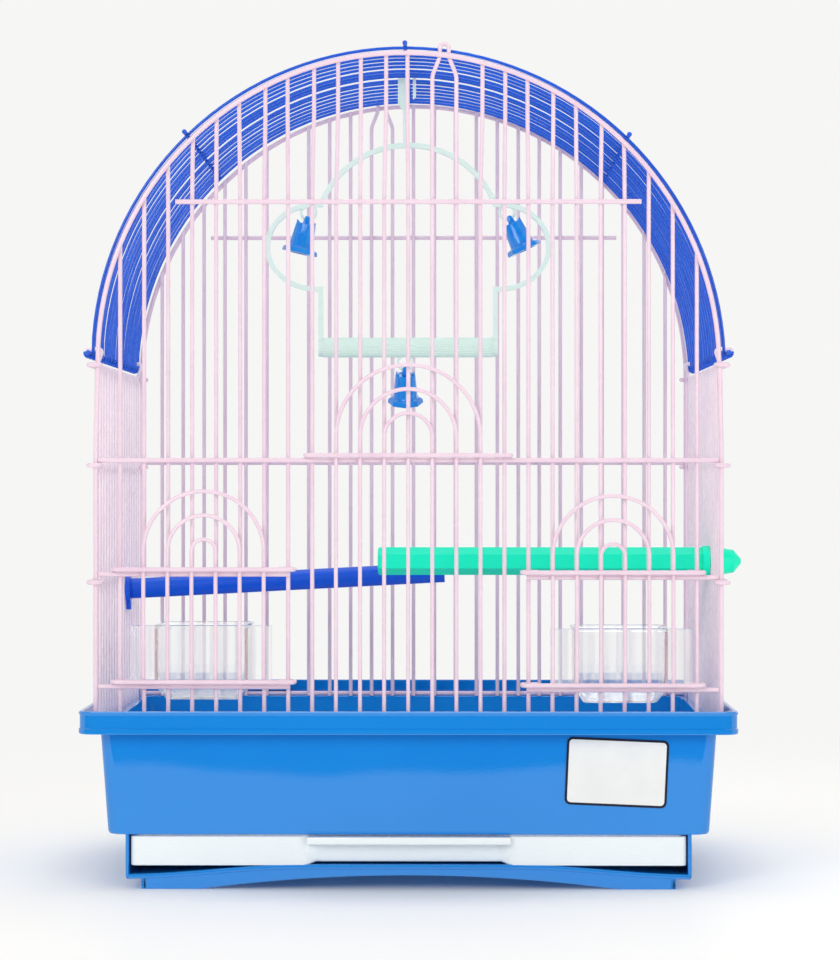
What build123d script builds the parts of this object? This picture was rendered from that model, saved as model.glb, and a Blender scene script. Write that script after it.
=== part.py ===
import os
from math import atan, cos, radians, sin, sqrt

from build123d import *

os.makedirs("parts", exist_ok=True)

# Arch-topped bird cage. Millimetres, +Z up, the front faces -Y.
# The origin is on the table, midway between the feet.

# Wire body
body_width = 298.0          # between the axes of the two legs of a panel's arch wire
body_depth = 228.0          # between the planes of the front and rear bars
bar_gap_count = 26          # gaps between bars across the front
side_gap_count = 18         # gaps between wires along a side
bar_d = 2.0
rail_d = 2.3
arch_d = 2.4
side_wire_d = 2.0
weld_gap = 0.02             # welded wires just touch
spring_z = 251.1            # where the arch starts
bar_overhang = 0.8          # a bar's top end past the arch wire's axis
upper_rail_z = 328.2
upper_rail_length = 222.0
mid_rail_z = 205.0
lower_rail_z = 150.7
sill_rail_z = 97.1
feeder_drop = 1.5           # the right feeder opening lies lower

# Openings in the front panel, counted in bars from the middle
main_door_bars = 3          # the main door replaces bars up to this one
feeder_first_bar = 6        # the bars cut by a feeder opening
feeder_last_bar = 11

# Doors
leg_d = 1.9                 # wires of a door
door_rail_d = 2.2
slide_gap = 0.3             # door wires clear of the fixed wires
rest_gap = 0.1              # an eye above the rail that carries it
eye_reach = 3.0             # the bend of an eye past the bar's axis
eye_return = 4.5            # the end of an eye behind the bar
eye_bend_share = 0.85       # an eye's bend as a share of its reach
main_arch_z = 216.0         # where the main door's arches start
left_arch_z = 161.6
right_arch_z = 159.4
latch_wire_z = 219.0        # top of the main door's middle wire
latch_wire_d = 1.8

# Hanging loop, bent from two bars of each panel
hanger_first_bar = 1
hanger_last_bar = 2
hanger_neck = 4.2           # between the two wires of the loop
hanger_bend_r = 8.0
hanger_loop_share = 0.48    # the loop's radius as a share of the neck
hanger_bend_z = 388.5
hanger_neck_z = 397.5
hanger_top_z = 403.7

# Dome
dome_wire_d = 2.0
dome_stay_d = 2.1
dome_count = 17
dome_rise = 1.7             # the dome wires' radius past the panel arch's radius
dome_inset = 2.2            # first dome wire behind the front bars
dome_end_rise = 2.9         # a dome wire's end above the spring of the arch
stay_overhang = 3.0         # a stay's end past the bars' axes
shoulder_angle = 46.0       # of the two shoulder stays
eave_rise = 5.3             # the lowest stays above the spring of the arch
swing_x = -1.6              # the ridge stay and the swing hang off the middle

# Side panels
side_wire_out = 1.1         # a side wire's axis past the corner leg's axis
side_top_rail_drop = 0.7    # below the spring of the arch
side_wire_overhang = 1.2
side_mid_drop = 2.4         # the side's rails lie under the front's
hook_wire_count = 1         # the side wire this far from each end has a hook at its top
hook_lean = 3.0
hook_tip = 5.6
hook_bends = (4.0, 1.6)     # radii of its two bends
side_eye_bend_r = 2.0

# Base
rim_side = 8.0              # the rim past the axes of the corner legs
rim_front = 11.5            # the rim past the planes of the bars
rim_top_z = 85.8
rim_bottom_z = 74.9
rim_corner_r = 8.0
ledge_z = 77.7
base_wall = 2.2
skirt_overhang = 9.5        # the rim past the skirt's top
skirt_bottom_z = 27.2
skirt_taper = 5.1
skirt_corner_r = 6.5
bottom_flange = 14.0
bottom_flange_t = 2.2
bead = 0.5
tab_width = 24.0
tab_x = 80.0
tab_t = 2.0
tab_gap = 0.3

# Drawer guide
guide_inset_x = 7.5         # the guide inside the skirt's foot
guide_inset_y = 0.4
guide_wall = 2.2
guide_floor_z = 8.0
guide_floor_t = 3.0
guide_lip_z = 5.7
foot_inset_x = 6.9          # the foot ring inside the guide
foot_inset_y = 6.5
foot_wall = 2.6
foot_side = 15.0            # the foot ring stands on this much at each end of its front
foot_arch_rise = 6.2

# Drawer
drawer_side_gap = 0.5
drawer_lift = 0.1
drawer_height = 13.0
drawer_wall = 1.8
drawer_floor = 1.5
drawer_front_setback = 1.0
handle_width = 97.0
handle_reach = 4.0
handle_t = 3.2
handle_round = 1.3

# Label plate
label_width = 48.6
label_height = 32.5
label_t = 0.35
label_corner_r = 2.7
label_inset = 49.6          # the label's middle in from the corner leg's axis
label_z = 56.2

# Cups
cup_width = 44.6
cup_depth = 42.5
cup_wall = 1.5
cup_bottom_z = 90.4
cup_top_z = 126.3
cup_chamfer = 6.0           # height of the sloping part over the floor
cup_taper = 4.6
cup_step = 0.8
cup_corner_r = 3.0
cup_out = 2.7               # each cup past the middle of its feeder opening
cup_shift = 1.3             # both cups sit this far to the right
wing_span = 67.6
wing_t = 2.0
wing_gap = 0.15
wing_plane_gap = 0.9        # between a wing and the door's wires
cup_bar_gap = 0.6

# Perches
green_across_flats = 12.0
green_end_x = -16.0
green_gap_count = 5         # passes the side wires after this one
green_chamfer = 0.8
green_z = 155.2
green_collar_r = 7.7
green_collar_t = 3.4
blue_d = 10.5
blue_end_x = 17.0
blue_gap_count = 11
blue_z = 138.9
blue_tilt = 3.0
blue_collar_r = 7.4
blue_collar_t = 2.4
prong_size = 4.4            # the prong under the blue perch's collar
prong_out = 1.2
stem_d = 6.0
stem_fit = 0.05
perch_side_gap = 0.2
knob_flange_t = 2.0
knob_r = 8.2
knob_neck_r = 6.6
knob_cap = 2.4              # left solid past the end of the stem
knob_taper_share = 0.4      # of the knob's length past its flange
knob_shoulder_share = 0.86  # radii at the taper's two ends as shares of the neck's
knob_tip_share = 0.2
green_knob_length = 11.0
blue_knob_length = 5.6

# Swing
swing_y = 4.5
swing_t = 3.8
strand = 2.5
swing_half = 44.8           # middle to the axis of an upright
swing_arch_drop = 63.1      # the swing's shoulders below the crown of the cage's arch
swing_arch_rise = 30.4
ear_rx = 25.0
ear_ry = 21.7
ear_offset = 2.4
swing_perch_drop = 73.4     # the swing's perch below its shoulders
swing_perch_d = 10.2
swing_perch_rib_count = 24
swing_rib = 0.35
collar_d = 9.4
peg_d = 2.8
peg_fit = 0.05
hook_fit = 0.08
hook_top = 1.2
hook_left = 5.2             # outer faces of the hook from the swing's middle
hook_right = 4.1
hook_slot = 3.8
slot_offset = 0.6
hook_tip_drop = 8.9         # heights of the hook below the crown
hook_shoulder_drop = 11.7
stem_top_drop = 14.7
swing_stem = 3.1
stem_offset = -1.0

# Bells
ring_r = 3.8
ring_d = 1.4
ring_fit = 0.4
bell_top_r = 5.0
bell_bottom_r = 6.1
bell_height = 12.4
bell_wall = 1.1
bell_flange_r = 9.2
bell_flange_t = 3.0
bell_flange_side_count = 8
bell_flange_taper = 8.0     # degrees
bell_crown_r = 1.8
bell_crown_h = 4.2
bell_ear_h = 1.6
bell_drop = 6.1             # from the ring's centre to the bell's shoulder
clapper_d = 3.2
clapper_stem_d = 1.0
clapper_drop = 3.6
left_bell_x = -52.6
left_ring_drop = 4.1        # a ring's centre below the swing's shoulders
left_bell_tilt = 13.0
right_bell_x = 49.2
right_ring_drop = 4.1
right_bell_tilt = -25.0
low_bell_x = -3.0
low_ring_drop = 7.8         # a ring's centre below the axis of the swing's perch
low_bell_lean = 20.0

bar_pitch = body_width / bar_gap_count
bars_each_side = bar_gap_count // 2 - 1
arch_r = body_width / 2
crown_z = spring_z + arch_r
bar_y = body_depth / 2
bar_r = bar_d / 2
rail_r = rail_d / 2
rail_y = bar_y + bar_r + rail_r + weld_gap
arch_y = bar_y + bar_r + arch_d / 2 + weld_gap
foot_rail_z = ledge_z + rail_r + weld_gap
side_top_rail_z = spring_z - side_top_rail_drop
eave_stay_z = spring_z + eave_rise
dome_end_z = spring_z + dome_end_rise
feeder_bars = (feeder_first_bar, feeder_last_bar)
hanger_bars = (hanger_first_bar, hanger_last_bar)
side_pitch = body_depth / side_gap_count
side_wire_x = arch_r + side_wire_out
side_rail_x = side_wire_x + side_wire_d / 2 + rail_r + weld_gap


def arch_height(x):
    return spring_z + sqrt(arch_r**2 - x**2)


def wire(x, y, bottom, top, radius):
    """One upright wire, added to the part in hand."""
    with BuildSketch(Plane.XY.offset(bottom)) as face:
        with Locations((x, y)):
            Circle(radius)
    extrude(face.sketch, amount=top - bottom)


def rail(x_from, x_to, y, z, radius):
    """One straight rail along X, added to the part in hand."""
    with BuildSketch(Plane.YZ.offset(x_from)) as face:
        with Locations((y, z)):
            Circle(radius)
    extrude(face.sketch, amount=x_to - x_from)


def cross_rail(y_from, y_to, x, z, radius):
    """One straight wire along Y, added to the part in hand."""
    with BuildSketch(Plane.XZ.offset(-y_from)) as face:
        with Locations((x, z)):
            Circle(radius)
    extrude(face.sketch, amount=y_from - y_to)


def bent_wire(corners, radii, radius):
    """One wire swept along straight runs joined by tangent arcs."""
    with BuildLine():
        path = FilletPolyline(*corners, radius=radii)
    with BuildSketch(Plane(origin=path @ 0, z_dir=path % 0)) as face:
        Circle(radius)
    sweep(face.sketch, path=path)


def arch_wire(y, foot):
    """A panel's frame wire: two legs and the half circle over them."""
    with BuildLine(Plane.XZ.offset(-y)) as path:
        Line((-arch_r, foot), (-arch_r, spring_z))
        CenterArc((0, spring_z), arch_r, 180, -180)
        Line((arch_r, spring_z), (arch_r, foot))
    with BuildSketch(Plane(origin=(-arch_r, y, foot), z_dir=(0, 0, 1))) as face:
        Circle(arch_d / 2)
    sweep(face.sketch, path=path.wire())


def hanger(y, side):
    """The loop that two neighbouring bars form above the arch."""
    inner = side * hanger_bars[0] * bar_pitch
    outer = side * hanger_bars[1] * bar_pitch
    middle = (inner + outer) / 2
    half_neck = side * hanger_neck / 2
    foot = mid_rail_z - rail_r
    corners = [
        (inner, y, foot),
        (inner, y, hanger_bend_z),
        (middle - half_neck, y, hanger_neck_z),
        (middle - half_neck, y, hanger_top_z),
        (middle + half_neck, y, hanger_top_z),
        (middle + half_neck, y, hanger_neck_z),
        (outer, y, hanger_bend_z),
        (outer, y, foot),
    ]
    loop_r = hanger_loop_share * hanger_neck
    bends = [hanger_bend_r, hanger_bend_r, loop_r, loop_r, hanger_bend_r, hanger_bend_r]
    bent_wire(corners, bends, bar_r)


# Front panel
leg_inner_x = arch_r - arch_d / 2 - weld_gap
feeder_rail_end = (feeder_bars[0] - 1) * bar_pitch - bar_r
bar_foot_z = foot_rail_z - rail_r

with BuildPart() as front_arch:
    arch_wire(-arch_y, ledge_z + weld_gap)
front_arch.part.label = "front_arch"
export_step(front_arch.part, "parts/front_arch.step")

with BuildPart() as front_hanger:
    hanger(-bar_y, 1)
front_hanger.part.label = "front_hanger"
export_step(front_hanger.part, "parts/front_hanger.step")

with BuildPart() as front_rails:
    rail(-upper_rail_length / 2, upper_rail_length / 2, -rail_y, upper_rail_z, rail_r)
    rail(-leg_inner_x, leg_inner_x, -rail_y, mid_rail_z, rail_r)
    rail(-leg_inner_x, leg_inner_x, -rail_y, foot_rail_z, rail_r)
    for level in (lower_rail_z, sill_rail_z):
        rail(-leg_inner_x, -feeder_rail_end, -rail_y, level, rail_r)
        rail(feeder_rail_end, leg_inner_x, -rail_y, level - feeder_drop, rail_r)
front_rails.part.label = "front_rails"
export_step(front_rails.part, "parts/front_rails.step")

with BuildPart() as front_bars:
    for bar in range(-bars_each_side, bars_each_side + 1):
        bar_x = bar * bar_pitch
        bar_top = arch_height(bar_x) + bar_overhang
        drop = feeder_drop if bar > 0 else 0
        if bar in hanger_bars:
            continue
        if abs(bar) <= main_door_bars:
            wire(bar_x, -bar_y, mid_rail_z - rail_r, bar_top, bar_r)
        elif feeder_bars[0] <= abs(bar) <= feeder_bars[1]:
            wire(bar_x, -bar_y, lower_rail_z - drop - rail_r, bar_top, bar_r)
            wire(bar_x, -bar_y, bar_foot_z, sill_rail_z - drop + rail_r, bar_r)
        else:
            wire(bar_x, -bar_y, bar_foot_z, bar_top, bar_r)
front_bars.part.label = "front_bars"
export_step(front_bars.part, "parts/front_bars.step")

# Rear panel: the same panel without doors, turned to face backwards
with BuildPart() as rear_arch:
    arch_wire(arch_y, ledge_z + weld_gap)
rear_arch.part.label = "rear_arch"
export_step(rear_arch.part, "parts/rear_arch.step")

with BuildPart() as rear_hanger:
    hanger(bar_y, -1)
rear_hanger.part.label = "rear_hanger"
export_step(rear_hanger.part, "parts/rear_hanger.step")

with BuildPart() as rear_rails:
    rail(-upper_rail_length / 2, upper_rail_length / 2, rail_y, upper_rail_z, rail_r)
    for level in (mid_rail_z, foot_rail_z):
        rail(-leg_inner_x, leg_inner_x, rail_y, level, rail_r)
rear_rails.part.label = "rear_rails"
export_step(rear_rails.part, "parts/rear_rails.step")

with BuildPart() as rear_bars:
    for bar in range(-bars_each_side, bars_each_side + 1):
        bar_x = bar * bar_pitch
        bar_top = arch_height(bar_x) + bar_overhang
        if -bar in hanger_bars:
            bar_top = mid_rail_z - rail_r - weld_gap
        wire(bar_x, bar_y, bar_foot_z, bar_top, bar_r)
rear_bars.part.label = "rear_bars"
export_step(rear_bars.part, "parts/rear_bars.step")

# Side panels
side_wire_top = side_top_rail_z + side_wire_overhang
side_eye_levels = (
    side_top_rail_z,
    mid_rail_z - side_mid_drop,
    lower_rail_z - feeder_drop - side_mid_drop,
)
stay_gap = (dome_wire_d + dome_stay_d) / 2 + weld_gap
eave_stay_x = sqrt((arch_r + dome_rise + stay_gap) ** 2 - (eave_stay_z - spring_z) ** 2)
hook_z = eave_stay_z + (dome_stay_d + side_wire_d) / 2 + rest_gap


def side_eye(side, z):
    """A side rail whose two ends wrap round the corner legs of the panels."""
    clear = arch_d / 2 + rail_r + rest_gap
    behind = side * (arch_r - clear)
    outside = side * side_rail_x
    corners = [
        (behind, -arch_y + clear / 2, z),
        (behind, -arch_y - clear, z),
        (outside, -arch_y - clear, z),
        (outside, arch_y + clear, z),
        (behind, arch_y + clear, z),
        (behind, arch_y - clear / 2, z),
    ]
    bent_wire(corners, 4 * [side_eye_bend_r], rail_r)


def side_rails(side):
    """Three rails with eyes and the plain foot rail of one side."""
    for level in side_eye_levels:
        side_eye(side, level)
    foot_end_y = arch_y - arch_d / 2 - weld_gap
    cross_rail(-foot_end_y, foot_end_y, side * side_rail_x, foot_rail_z, rail_r)


def side_wires(side):
    """The plain upright wires of one side."""
    for gap in range(hook_wire_count + 1, side_gap_count - hook_wire_count):
        wire_y = -bar_y + gap * side_pitch
        wire(side * side_wire_x, wire_y, bar_foot_z, side_wire_top, side_wire_d / 2)


def side_hooks(side):
    """The two wires whose tops hook over the eave stay from inside."""
    wire_x = side * side_wire_x
    for gap in (hook_wire_count, side_gap_count - hook_wire_count):
        wire_y = -bar_y + gap * side_pitch
        corners = [
            (wire_x, wire_y, bar_foot_z),
            (wire_x, wire_y, side_top_rail_z),
            (side * (side_wire_x - hook_lean), wire_y, hook_z),
            (side * (side_wire_x + hook_tip), wire_y, hook_z),
        ]
        bent_wire(corners, hook_bends, side_wire_d / 2)


with BuildPart() as left_rails:
    side_rails(-1)
left_rails.part.label = "left_rails"
export_step(left_rails.part, "parts/left_rails.step")

with BuildPart() as right_rails:
    side_rails(1)
right_rails.part.label = "right_rails"
export_step(right_rails.part, "parts/right_rails.step")

with BuildPart() as left_wires:
    side_wires(-1)
left_wires.part.label = "left_wires"
export_step(left_wires.part, "parts/left_wires.step")

with BuildPart() as right_wires:
    side_wires(1)
right_wires.part.label = "right_wires"
export_step(right_wires.part, "parts/right_wires.step")

with BuildPart() as left_hooks:
    side_hooks(-1)
left_hooks.part.label = "left_hooks"
export_step(left_hooks.part, "parts/left_hooks.step")

with BuildPart() as right_hooks:
    side_hooks(1)
right_hooks.part.label = "right_hooks"
export_step(right_hooks.part, "parts/right_hooks.step")

# Dome: bent wires side by side, and the stays that hold them
dome_r = arch_r + dome_rise
dome_first_y = -bar_y + dome_inset
dome_pitch = -2 * dome_first_y / (dome_count - 1)
dome_end_x = sqrt(dome_r**2 - (dome_end_z - spring_z) ** 2)
stay_end_y = bar_y + stay_overhang
stay_r = dome_r + (dome_wire_d + dome_stay_d) / 2 + weld_gap

with BuildPart() as dome_wires:
    for number in range(dome_count):
        dome_y = dome_first_y + number * dome_pitch
        with BuildLine(Plane.XZ.offset(-dome_y)) as path:
            ThreePointArc(
                (-dome_end_x, dome_end_z), (0, spring_z + dome_r), (dome_end_x, dome_end_z)
            )
        start_dir = (dome_end_z - spring_z, 0, dome_end_x)
        with BuildSketch(Plane(origin=(-dome_end_x, dome_y, dome_end_z), z_dir=start_dir)):
            Circle(dome_wire_d / 2)
        sweep(path=path.wire())
dome_wires.part.label = "dome_wires"
export_step(dome_wires.part, "parts/dome_wires.step")

ridge_stay_z = spring_z + sqrt(stay_r**2 - swing_x**2)
shoulder_x = stay_r * cos(radians(shoulder_angle))
shoulder_z = spring_z + stay_r * sin(radians(shoulder_angle))

with BuildPart() as dome_stays:
    cross_rail(-stay_end_y, stay_end_y, swing_x, ridge_stay_z, dome_stay_d / 2)
    for side in (-1, 1):
        cross_rail(-stay_end_y, stay_end_y, side * shoulder_x, shoulder_z, dome_stay_d / 2)
        cross_rail(-stay_end_y, stay_end_y, side * eave_stay_x, eave_stay_z, dome_stay_d / 2)
dome_stays.part.label = "dome_stays"
export_step(dome_stays.part, "parts/dome_stays.step")

# Doors: they slide up along the bars that their eyes wrap round
leg_r = leg_d / 2
door_rail_r = door_rail_d / 2
leg_y = -(rail_y + rail_r + slide_gap + leg_r)
door_rail_y = leg_y - leg_r - door_rail_r - weld_gap
eye_back_y = -bar_y + bar_r + slide_gap + door_rail_r
eye_lift = rail_r + door_rail_r + rest_gap


def door_rail(x_from, x_to, z):
    """A door's rail with an eye round the fixed bar at each end."""
    corners = [
        (x_from + eye_return, eye_back_y, z),
        (x_from - eye_reach, eye_back_y, z),
        (x_from - eye_reach, door_rail_y, z),
        (x_to + eye_reach, door_rail_y, z),
        (x_to + eye_reach, eye_back_y, z),
        (x_to - eye_return, eye_back_y, z),
    ]
    bent_wire(corners, 4 * [eye_bend_share * eye_reach], door_rail_r)


def door_arch(middle, half_width, foot, spring):
    """One bent wire of a door: two legs under a half circle."""
    with BuildLine(Plane.XZ.offset(-leg_y)) as path:
        Line((middle - half_width, foot), (middle - half_width, spring))
        CenterArc((middle, spring), half_width, 180, -180)
        Line((middle + half_width, spring), (middle + half_width, foot))
    with BuildSketch(Plane(origin=(middle - half_width, leg_y, foot), z_dir=(0, 0, 1))) as face:
        Circle(leg_r)
    sweep(face.sketch, path=path.wire())


main_door_top_z = mid_rail_z + eye_lift
main_door_foot_z = foot_rail_z + eye_lift
eye_x = (main_door_bars + 1) * bar_pitch

with BuildPart() as main_door_rails:
    door_rail(-eye_x, eye_x, main_door_top_z)
    door_rail(-eye_x, eye_x, main_door_foot_z)
main_door_rails.part.label = "main_door_rails"
export_step(main_door_rails.part, "parts/main_door_rails.step")

with BuildPart() as main_door_wires:
    door_wire_foot = main_door_foot_z - door_rail_r
    for bar in range(1, main_door_bars + 1):
        door_arch(0, bar * bar_pitch, door_wire_foot, main_arch_z)
    wire(0, leg_y, door_wire_foot, latch_wire_z, latch_wire_d / 2)
main_door_wires.part.label = "main_door_wires"
export_step(main_door_wires.part, "parts/main_door_wires.step")

feeder_bar_count = feeder_bars[1] - feeder_bars[0] + 1
feeder_middle = (feeder_bars[0] + feeder_bars[1]) / 2 * bar_pitch
feeder_eye_half = (feeder_bar_count + 1) / 2 * bar_pitch


def feeder_rails(side, drop):
    """The two rails of a feeder door, with their eyes."""
    left = side * feeder_middle - feeder_eye_half
    right = side * feeder_middle + feeder_eye_half
    door_rail(left, right, lower_rail_z - drop + eye_lift)
    door_rail(left, right, sill_rail_z - drop + eye_lift)


def feeder_wires(side, drop, spring):
    """The nested arches of a feeder door."""
    foot = sill_rail_z - drop + eye_lift - door_rail_r
    for ring in range(feeder_bar_count // 2):
        door_arch(side * feeder_middle, (ring + 0.5) * bar_pitch, foot, spring)


with BuildPart() as left_door_rails:
    feeder_rails(-1, 0)
left_door_rails.part.label = "left_door_rails"
export_step(left_door_rails.part, "parts/left_door_rails.step")

with BuildPart() as right_door_rails:
    feeder_rails(1, feeder_drop)
right_door_rails.part.label = "right_door_rails"
export_step(right_door_rails.part, "parts/right_door_rails.step")

with BuildPart() as left_door_wires:
    feeder_wires(-1, 0, left_arch_z)
left_door_wires.part.label = "left_door_wires"
export_step(left_door_wires.part, "parts/left_door_wires.step")

with BuildPart() as right_door_wires:
    feeder_wires(1, feeder_drop, right_arch_z)
right_door_wires.part.label = "right_door_wires"
export_step(right_door_wires.part, "parts/right_door_wires.step")

# Base: rim, ledge, tapered skirt and the flange round its bottom
rim_width = body_width + 2 * rim_side
rim_depth = body_depth + 2 * rim_front
skirt_top_w = rim_width - 2 * skirt_overhang
skirt_top_d = rim_depth - 2 * skirt_overhang
skirt_foot_w = skirt_top_w - 2 * skirt_taper
skirt_foot_d = skirt_top_d - 2 * skirt_taper
flange_top_z = skirt_bottom_z + bottom_flange_t
recess_width = skirt_top_w - 2 * skirt_overhang


def rounded(width, depth, corner, z):
    """A rounded rectangle on a level plane."""
    with BuildSketch(Plane.XY.offset(z)) as face:
        RectangleRounded(width, depth, corner)
    return face.sketch


inner_foot_w = skirt_foot_w - 2 * base_wall
inner_foot_d = skirt_foot_d - 2 * base_wall
inner_top_w = skirt_top_w - 2 * base_wall
inner_top_d = skirt_top_d - 2 * base_wall
inner_rim_w = rim_width - 2 * base_wall
inner_rim_d = rim_depth - 2 * base_wall
inner_corner_r = skirt_corner_r - base_wall

with BuildPart() as base_body:
    rim_face = rounded(rim_width, rim_depth, rim_corner_r, rim_bottom_z)
    extrude(rim_face, amount=rim_top_z - rim_bottom_z)
    skirt_foot = rounded(skirt_foot_w, skirt_foot_d, skirt_corner_r, skirt_bottom_z)
    skirt_top = rounded(skirt_top_w, skirt_top_d, skirt_corner_r, rim_bottom_z)
    loft([skirt_foot, skirt_top])
    # inside of the rim, above the ledge
    inner_rim = rounded(inner_rim_w, inner_rim_d, rim_corner_r - base_wall, ledge_z)
    extrude(inner_rim, amount=rim_top_z - ledge_z, mode=Mode.SUBTRACT)
    # inside of the skirt, and the way through the ledge
    inner_foot = rounded(inner_foot_w, inner_foot_d, inner_corner_r, flange_top_z)
    inner_top = rounded(inner_top_w, inner_top_d, inner_corner_r, rim_bottom_z)
    loft([inner_foot, inner_top], mode=Mode.SUBTRACT)
    extrude(inner_top, amount=ledge_z - rim_bottom_z, mode=Mode.SUBTRACT)
    # way down to the drawer
    way_w = skirt_foot_w - 2 * bottom_flange
    way_d = skirt_foot_d - 2 * bottom_flange
    way_down = rounded(way_w, way_d, skirt_corner_r, skirt_bottom_z)
    extrude(way_down, amount=bottom_flange_t, mode=Mode.SUBTRACT)
    # shallow panel between the beads of the rim, front and back
    for face_y in (-rim_depth / 2, rim_depth / 2):
        with BuildSketch(Plane.XY.offset(rim_bottom_z + 3 * bead)):
            with Locations((0, face_y)):
                Rectangle(recess_width, 2 * bead)
        extrude(amount=rim_top_z - rim_bottom_z - 6 * bead, mode=Mode.SUBTRACT)
    # tabs that hold the foot rails of the front and rear panels down
    tab_bottom = foot_rail_z + rail_r + tab_gap
    tab_y_far = rim_depth / 2 - base_wall
    tab_y_near = bar_y + bar_r + tab_gap
    for face in (-1, 1):
        with BuildSketch(Plane.XY.offset(tab_bottom)):
            with Locations((-tab_x, face * (tab_y_far + tab_y_near) / 2),
                           (tab_x, face * (tab_y_far + tab_y_near) / 2)):
                Rectangle(tab_width, tab_y_far - tab_y_near)
        extrude(amount=tab_t)
base_body.part.label = "base_body"
export_step(base_body.part, "parts/base_body.step")

# Drawer guide under the base: floor, two sides, back and the foot ring
guide_width = skirt_foot_w - 2 * guide_inset_x
guide_depth = skirt_foot_d - 2 * guide_inset_y
foot_width = guide_width - 2 * foot_inset_x
foot_depth = guide_depth - 2 * foot_inset_y
foot_arch_width = foot_width - 2 * foot_side
guide_floor_top = guide_floor_z + guide_floor_t
foot_arch_r = ((foot_arch_width / 2) ** 2 + foot_arch_rise**2) / (2 * foot_arch_rise)

with BuildPart() as drawer_guide:
    with BuildSketch(Plane.XY.offset(guide_floor_z)):
        Rectangle(guide_width, guide_depth)
    extrude(amount=skirt_bottom_z - guide_floor_z)
    with BuildSketch(Plane.XY.offset(guide_floor_top)):
        with Locations((0, -guide_wall)):
            Rectangle(guide_width - 2 * guide_wall, guide_depth)
    extrude(amount=skirt_bottom_z - guide_floor_top, mode=Mode.SUBTRACT)
    with BuildSketch(Plane.XY.offset(guide_lip_z)):
        Rectangle(guide_width, guide_depth)
        Rectangle(guide_width - 2 * foot_wall, guide_depth - 2 * foot_wall, mode=Mode.SUBTRACT)
    extrude(amount=guide_floor_z - guide_lip_z)
    with BuildSketch():
        RectangleRounded(foot_width, foot_depth, skirt_corner_r)
        RectangleRounded(foot_width - 2 * foot_wall, foot_depth - 2 * foot_wall,
                         skirt_corner_r - foot_wall, mode=Mode.SUBTRACT)
    extrude(amount=guide_floor_z)
    with BuildSketch(Plane.XZ.offset(-foot_depth / 2)):
        with Locations((0, foot_arch_rise - foot_arch_r)):
            Circle(foot_arch_r)
        with Locations((0, -foot_arch_r)):
            Rectangle(2 * foot_width, 2 * foot_arch_r, mode=Mode.SUBTRACT)
    extrude(amount=foot_depth, mode=Mode.SUBTRACT)
drawer_guide.part.label = "drawer_guide"
export_step(drawer_guide.part, "parts/drawer_guide.step")

# Drawer
drawer_width = guide_width - 2 * (guide_wall + drawer_side_gap)
drawer_z = guide_floor_top + drawer_lift
drawer_front_y = -guide_depth / 2 - drawer_front_setback
drawer_back_y = guide_depth / 2 - guide_wall - drawer_side_gap
drawer_depth = drawer_back_y - drawer_front_y
drawer_mid_y = (drawer_front_y + drawer_back_y) / 2
handle_top_z = drawer_z + drawer_height

with BuildPart() as drawer:
    with BuildSketch(Plane.XY.offset(drawer_z)):
        with Locations((0, drawer_mid_y)):
            RectangleRounded(drawer_width, drawer_depth, drawer_wall)
    extrude(amount=drawer_height)
    with BuildSketch(Plane.XY.offset(drawer_z + drawer_floor)):
        with Locations((0, drawer_mid_y)):
            Rectangle(drawer_width - 2 * drawer_wall, drawer_depth - 2 * drawer_wall)
    extrude(amount=drawer_height - drawer_floor, mode=Mode.SUBTRACT)
    with BuildSketch(Plane.XY.offset(handle_top_z - handle_t)):
        with Locations((0, drawer_front_y - handle_reach / 2 + drawer_wall / 2)):
            Rectangle(handle_width, handle_reach + drawer_wall)
    extrude(amount=handle_t)
    lip_edges = drawer.edges().filter_by(Axis.X).group_by(Axis.Y)[0]
    fillet(lip_edges, radius=handle_round)
drawer.part.label = "drawer"
export_step(drawer.part, "parts/drawer.step")

# Blank label plate on the sloping front of the skirt
skirt_rise = rim_bottom_z - skirt_bottom_z
skirt_lean = atan(skirt_taper / skirt_rise)
label_x = arch_r - label_inset
label_y = -(skirt_foot_d / 2 + skirt_taper * (label_z - skirt_bottom_z) / skirt_rise)
label_plane = Plane(
    origin=(label_x, label_y, label_z),
    x_dir=(1, 0, 0),
    z_dir=(0, -cos(skirt_lean), -sin(skirt_lean)),
)

with BuildPart() as label_plate:
    with BuildSketch(label_plane):
        RectangleRounded(label_width, label_height, label_corner_r)
    extrude(amount=label_t)
label_plate.part.label = "label_plate"
export_step(label_plate.part, "parts/label_plate.step")

# Cups: a clear bowl behind the short bars, hung by two wings on the sill rail
wing_front_y = leg_y + leg_r + wing_plane_gap
bowl_front_y = -bar_y + bar_r + cup_bar_gap
bowl_mid_y = bowl_front_y + cup_depth / 2
cup_x = feeder_middle + cup_out


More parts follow.
